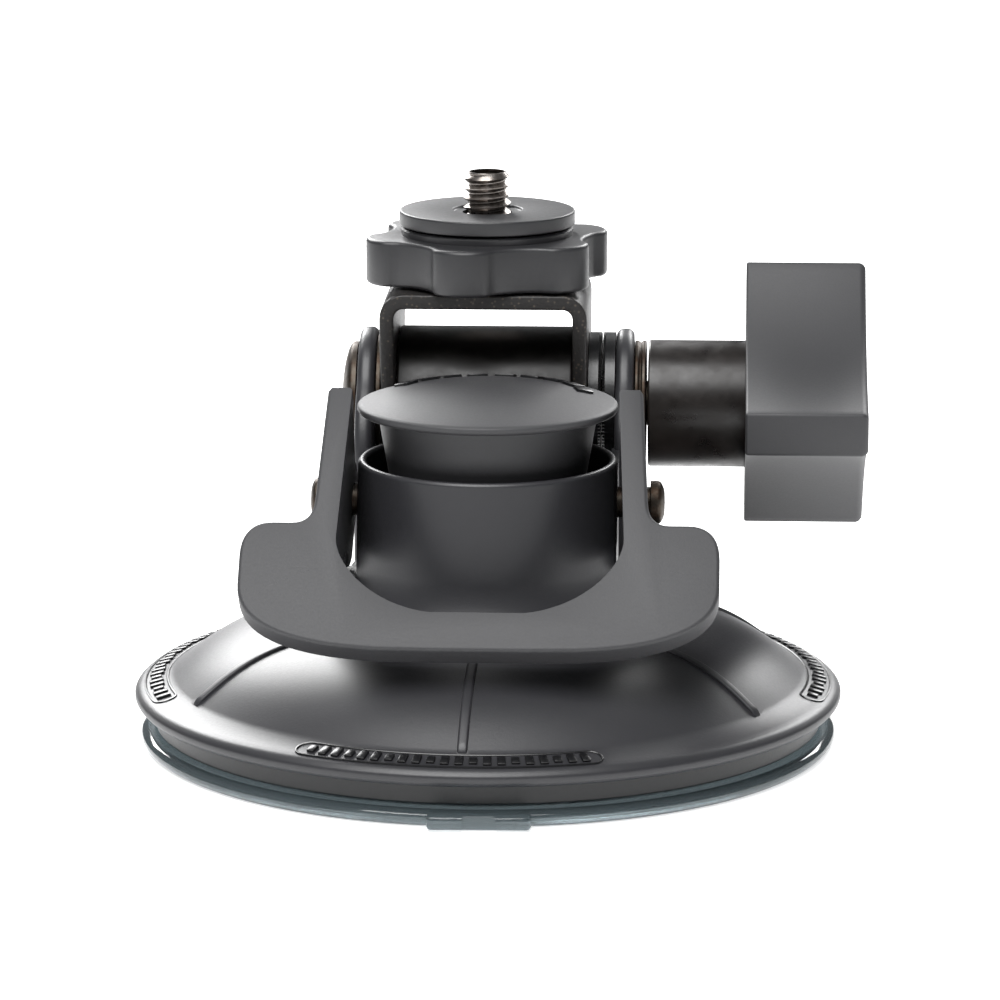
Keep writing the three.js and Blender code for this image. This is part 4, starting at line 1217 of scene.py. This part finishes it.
class MOUNT_OT_stage(bpy.types.Operator):
    """Pale floor, soft studio light and the camera"""

    bl_idname = "mount.stage"
    bl_label = "Stage"

    def execute(self, context):
        self.floor()
        self.lights(context)
        self.camera(context)
        return {"FINISHED"}

    def floor(self):
        """A wide white sweep that the mount stands on."""
        bpy.ops.object.select_all(action="DESELECT")
        bpy.ops.mesh.primitive_plane_add(size=6, location=(0, 0, -0.02 * MM))
        floor = bpy.context.object
        floor.name = "floor"
        material, tree, output, _ = new_material("white studio sweep")
        shader = add_node(
            tree, "ShaderNodeBsdfPrincipled",
            Base_Color=(0.93, 0.93, 0.93, 1), Roughness=0.7, Emission_Strength=0.7,
        )
        shader.inputs["Emission Color"].default_value = (1, 1, 1, 1)
        tree.links.new(shader.outputs[0], output.inputs["Surface"])
        paint(floor, "white studio sweep")

    def lights(self, context):
        """A dim room behind a white backdrop, a large softbox overhead and two behind that edge the cup."""
        world = bpy.data.worlds.new("white room")
        context.scene.world = world
        world.use_nodes = True
        tree = world.node_tree
        room = tree.nodes["Background"]
        room.inputs["Color"].default_value = (0.95, 0.97, 1, 1)
        room.inputs["Strength"].default_value = 0.18
        seen = add_node(tree, "ShaderNodeBackground", Color=(1, 1, 1, 1), Strength=1.0)
        ray = add_node(tree, "ShaderNodeLightPath").outputs["Is Camera Ray"]
        mix = add_node(tree, "ShaderNodeMixShader", i0=ray, i1=room.outputs[0], i2=seen.outputs[0])
        tree.links.new(mix.outputs[0], tree.nodes["World Output"].inputs["Surface"])
        for name, place, size, power in (
            ("overhead softbox", (-0.1, -0.26, 0.62), 0.45, 5.5),
            ("left softbox", (-0.28, 0.7, 0.42), 0.36, 6.0),
            ("right softbox", (0.28, 0.7, 0.42), 0.3, 3.5),
        ):
            bpy.ops.object.light_add(type="AREA", location=place)
            light = bpy.context.object
            light.name = name
            light.data.size = size
            light.data.energy = power
            light.rotation_euler = (Vector((0, 0, 0.03)) - Vector(place)).to_track_quat("-Z", "Y").to_euler()

    def camera(self, context):
        """A long lens a little above the mount, turned slightly towards the knob."""
        azimuth, elevation, distance = math.radians(2.6), math.radians(12.27), 0.648
        right = Vector((math.cos(azimuth), math.sin(azimuth), 0))
        back = Vector((
            math.sin(azimuth) * math.cos(elevation),
            -math.cos(azimuth) * math.cos(elevation),
            math.sin(elevation),
        ))
        target = right * 1.57 * MM + Vector((0, 0, 31.3 * MM))
        bpy.ops.object.camera_add(location=target + back * distance)
        camera = bpy.context.object
        camera.rotation_euler = (-back).to_track_quat("-Z", "Y").to_euler()
        camera.data.sensor_width = 36
        camera.data.lens = 180
        camera.data.clip_start = 0.01
        context.scene.camera = camera
        context.scene.view_settings.view_transform = "Standard"


OPERATORS = (
    MOUNT_OT_stage,
    MOUNT_OT_inner_parts,
    MOUNT_OT_membrane,
    MOUNT_OT_shell,
    MOUNT_OT_ledge_marks,
    MOUNT_OT_push_cap,
    MOUNT_OT_lever,
    MOUNT_OT_pins,
    MOUNT_OT_bracket,
    MOUNT_OT_tilt_stack,
    MOUNT_OT_knob,
    MOUNT_OT_camera_seat,
)
GROUPS = {
    "mount_cup": MountCupSizes,
    "mount_lever": MountLeverSizes,
    "mount_head": MountHeadSizes,
    "mount_colours": MountColours,
}


class MOUNT_PT_panel(bpy.types.Panel):
    """The mount's build steps"""

    bl_idname = "MOUNT_PT_panel"
    bl_label = "Camera Mount"
    bl_space_type = "VIEW_3D"
    bl_region_type = "UI"
    bl_category = "Mount"

    def draw(self, context):
        for operator in OPERATORS:
            self.layout.operator(operator.bl_idname)


def register():
    for cls in (*GROUPS.values(), *OPERATORS, MOUNT_PT_panel):
        bpy.utils.register_class(cls)
    for name, group in GROUPS.items():
        setattr(bpy.types.Scene, name, bpy.props.PointerProperty(type=group))


def unregister():
    for name in GROUPS:
        delattr(bpy.types.Scene, name)
    for cls in reversed((*GROUPS.values(), *OPERATORS, MOUNT_PT_panel)):
        bpy.utils.unregister_class(cls)


def main():
    """Builds everything in order."""
    register()
    for operator in OPERATORS:
        area, name = operator.bl_idname.split(".")
        getattr(getattr(bpy.ops, area), name)()


if __name__ == "__main__":
    main()
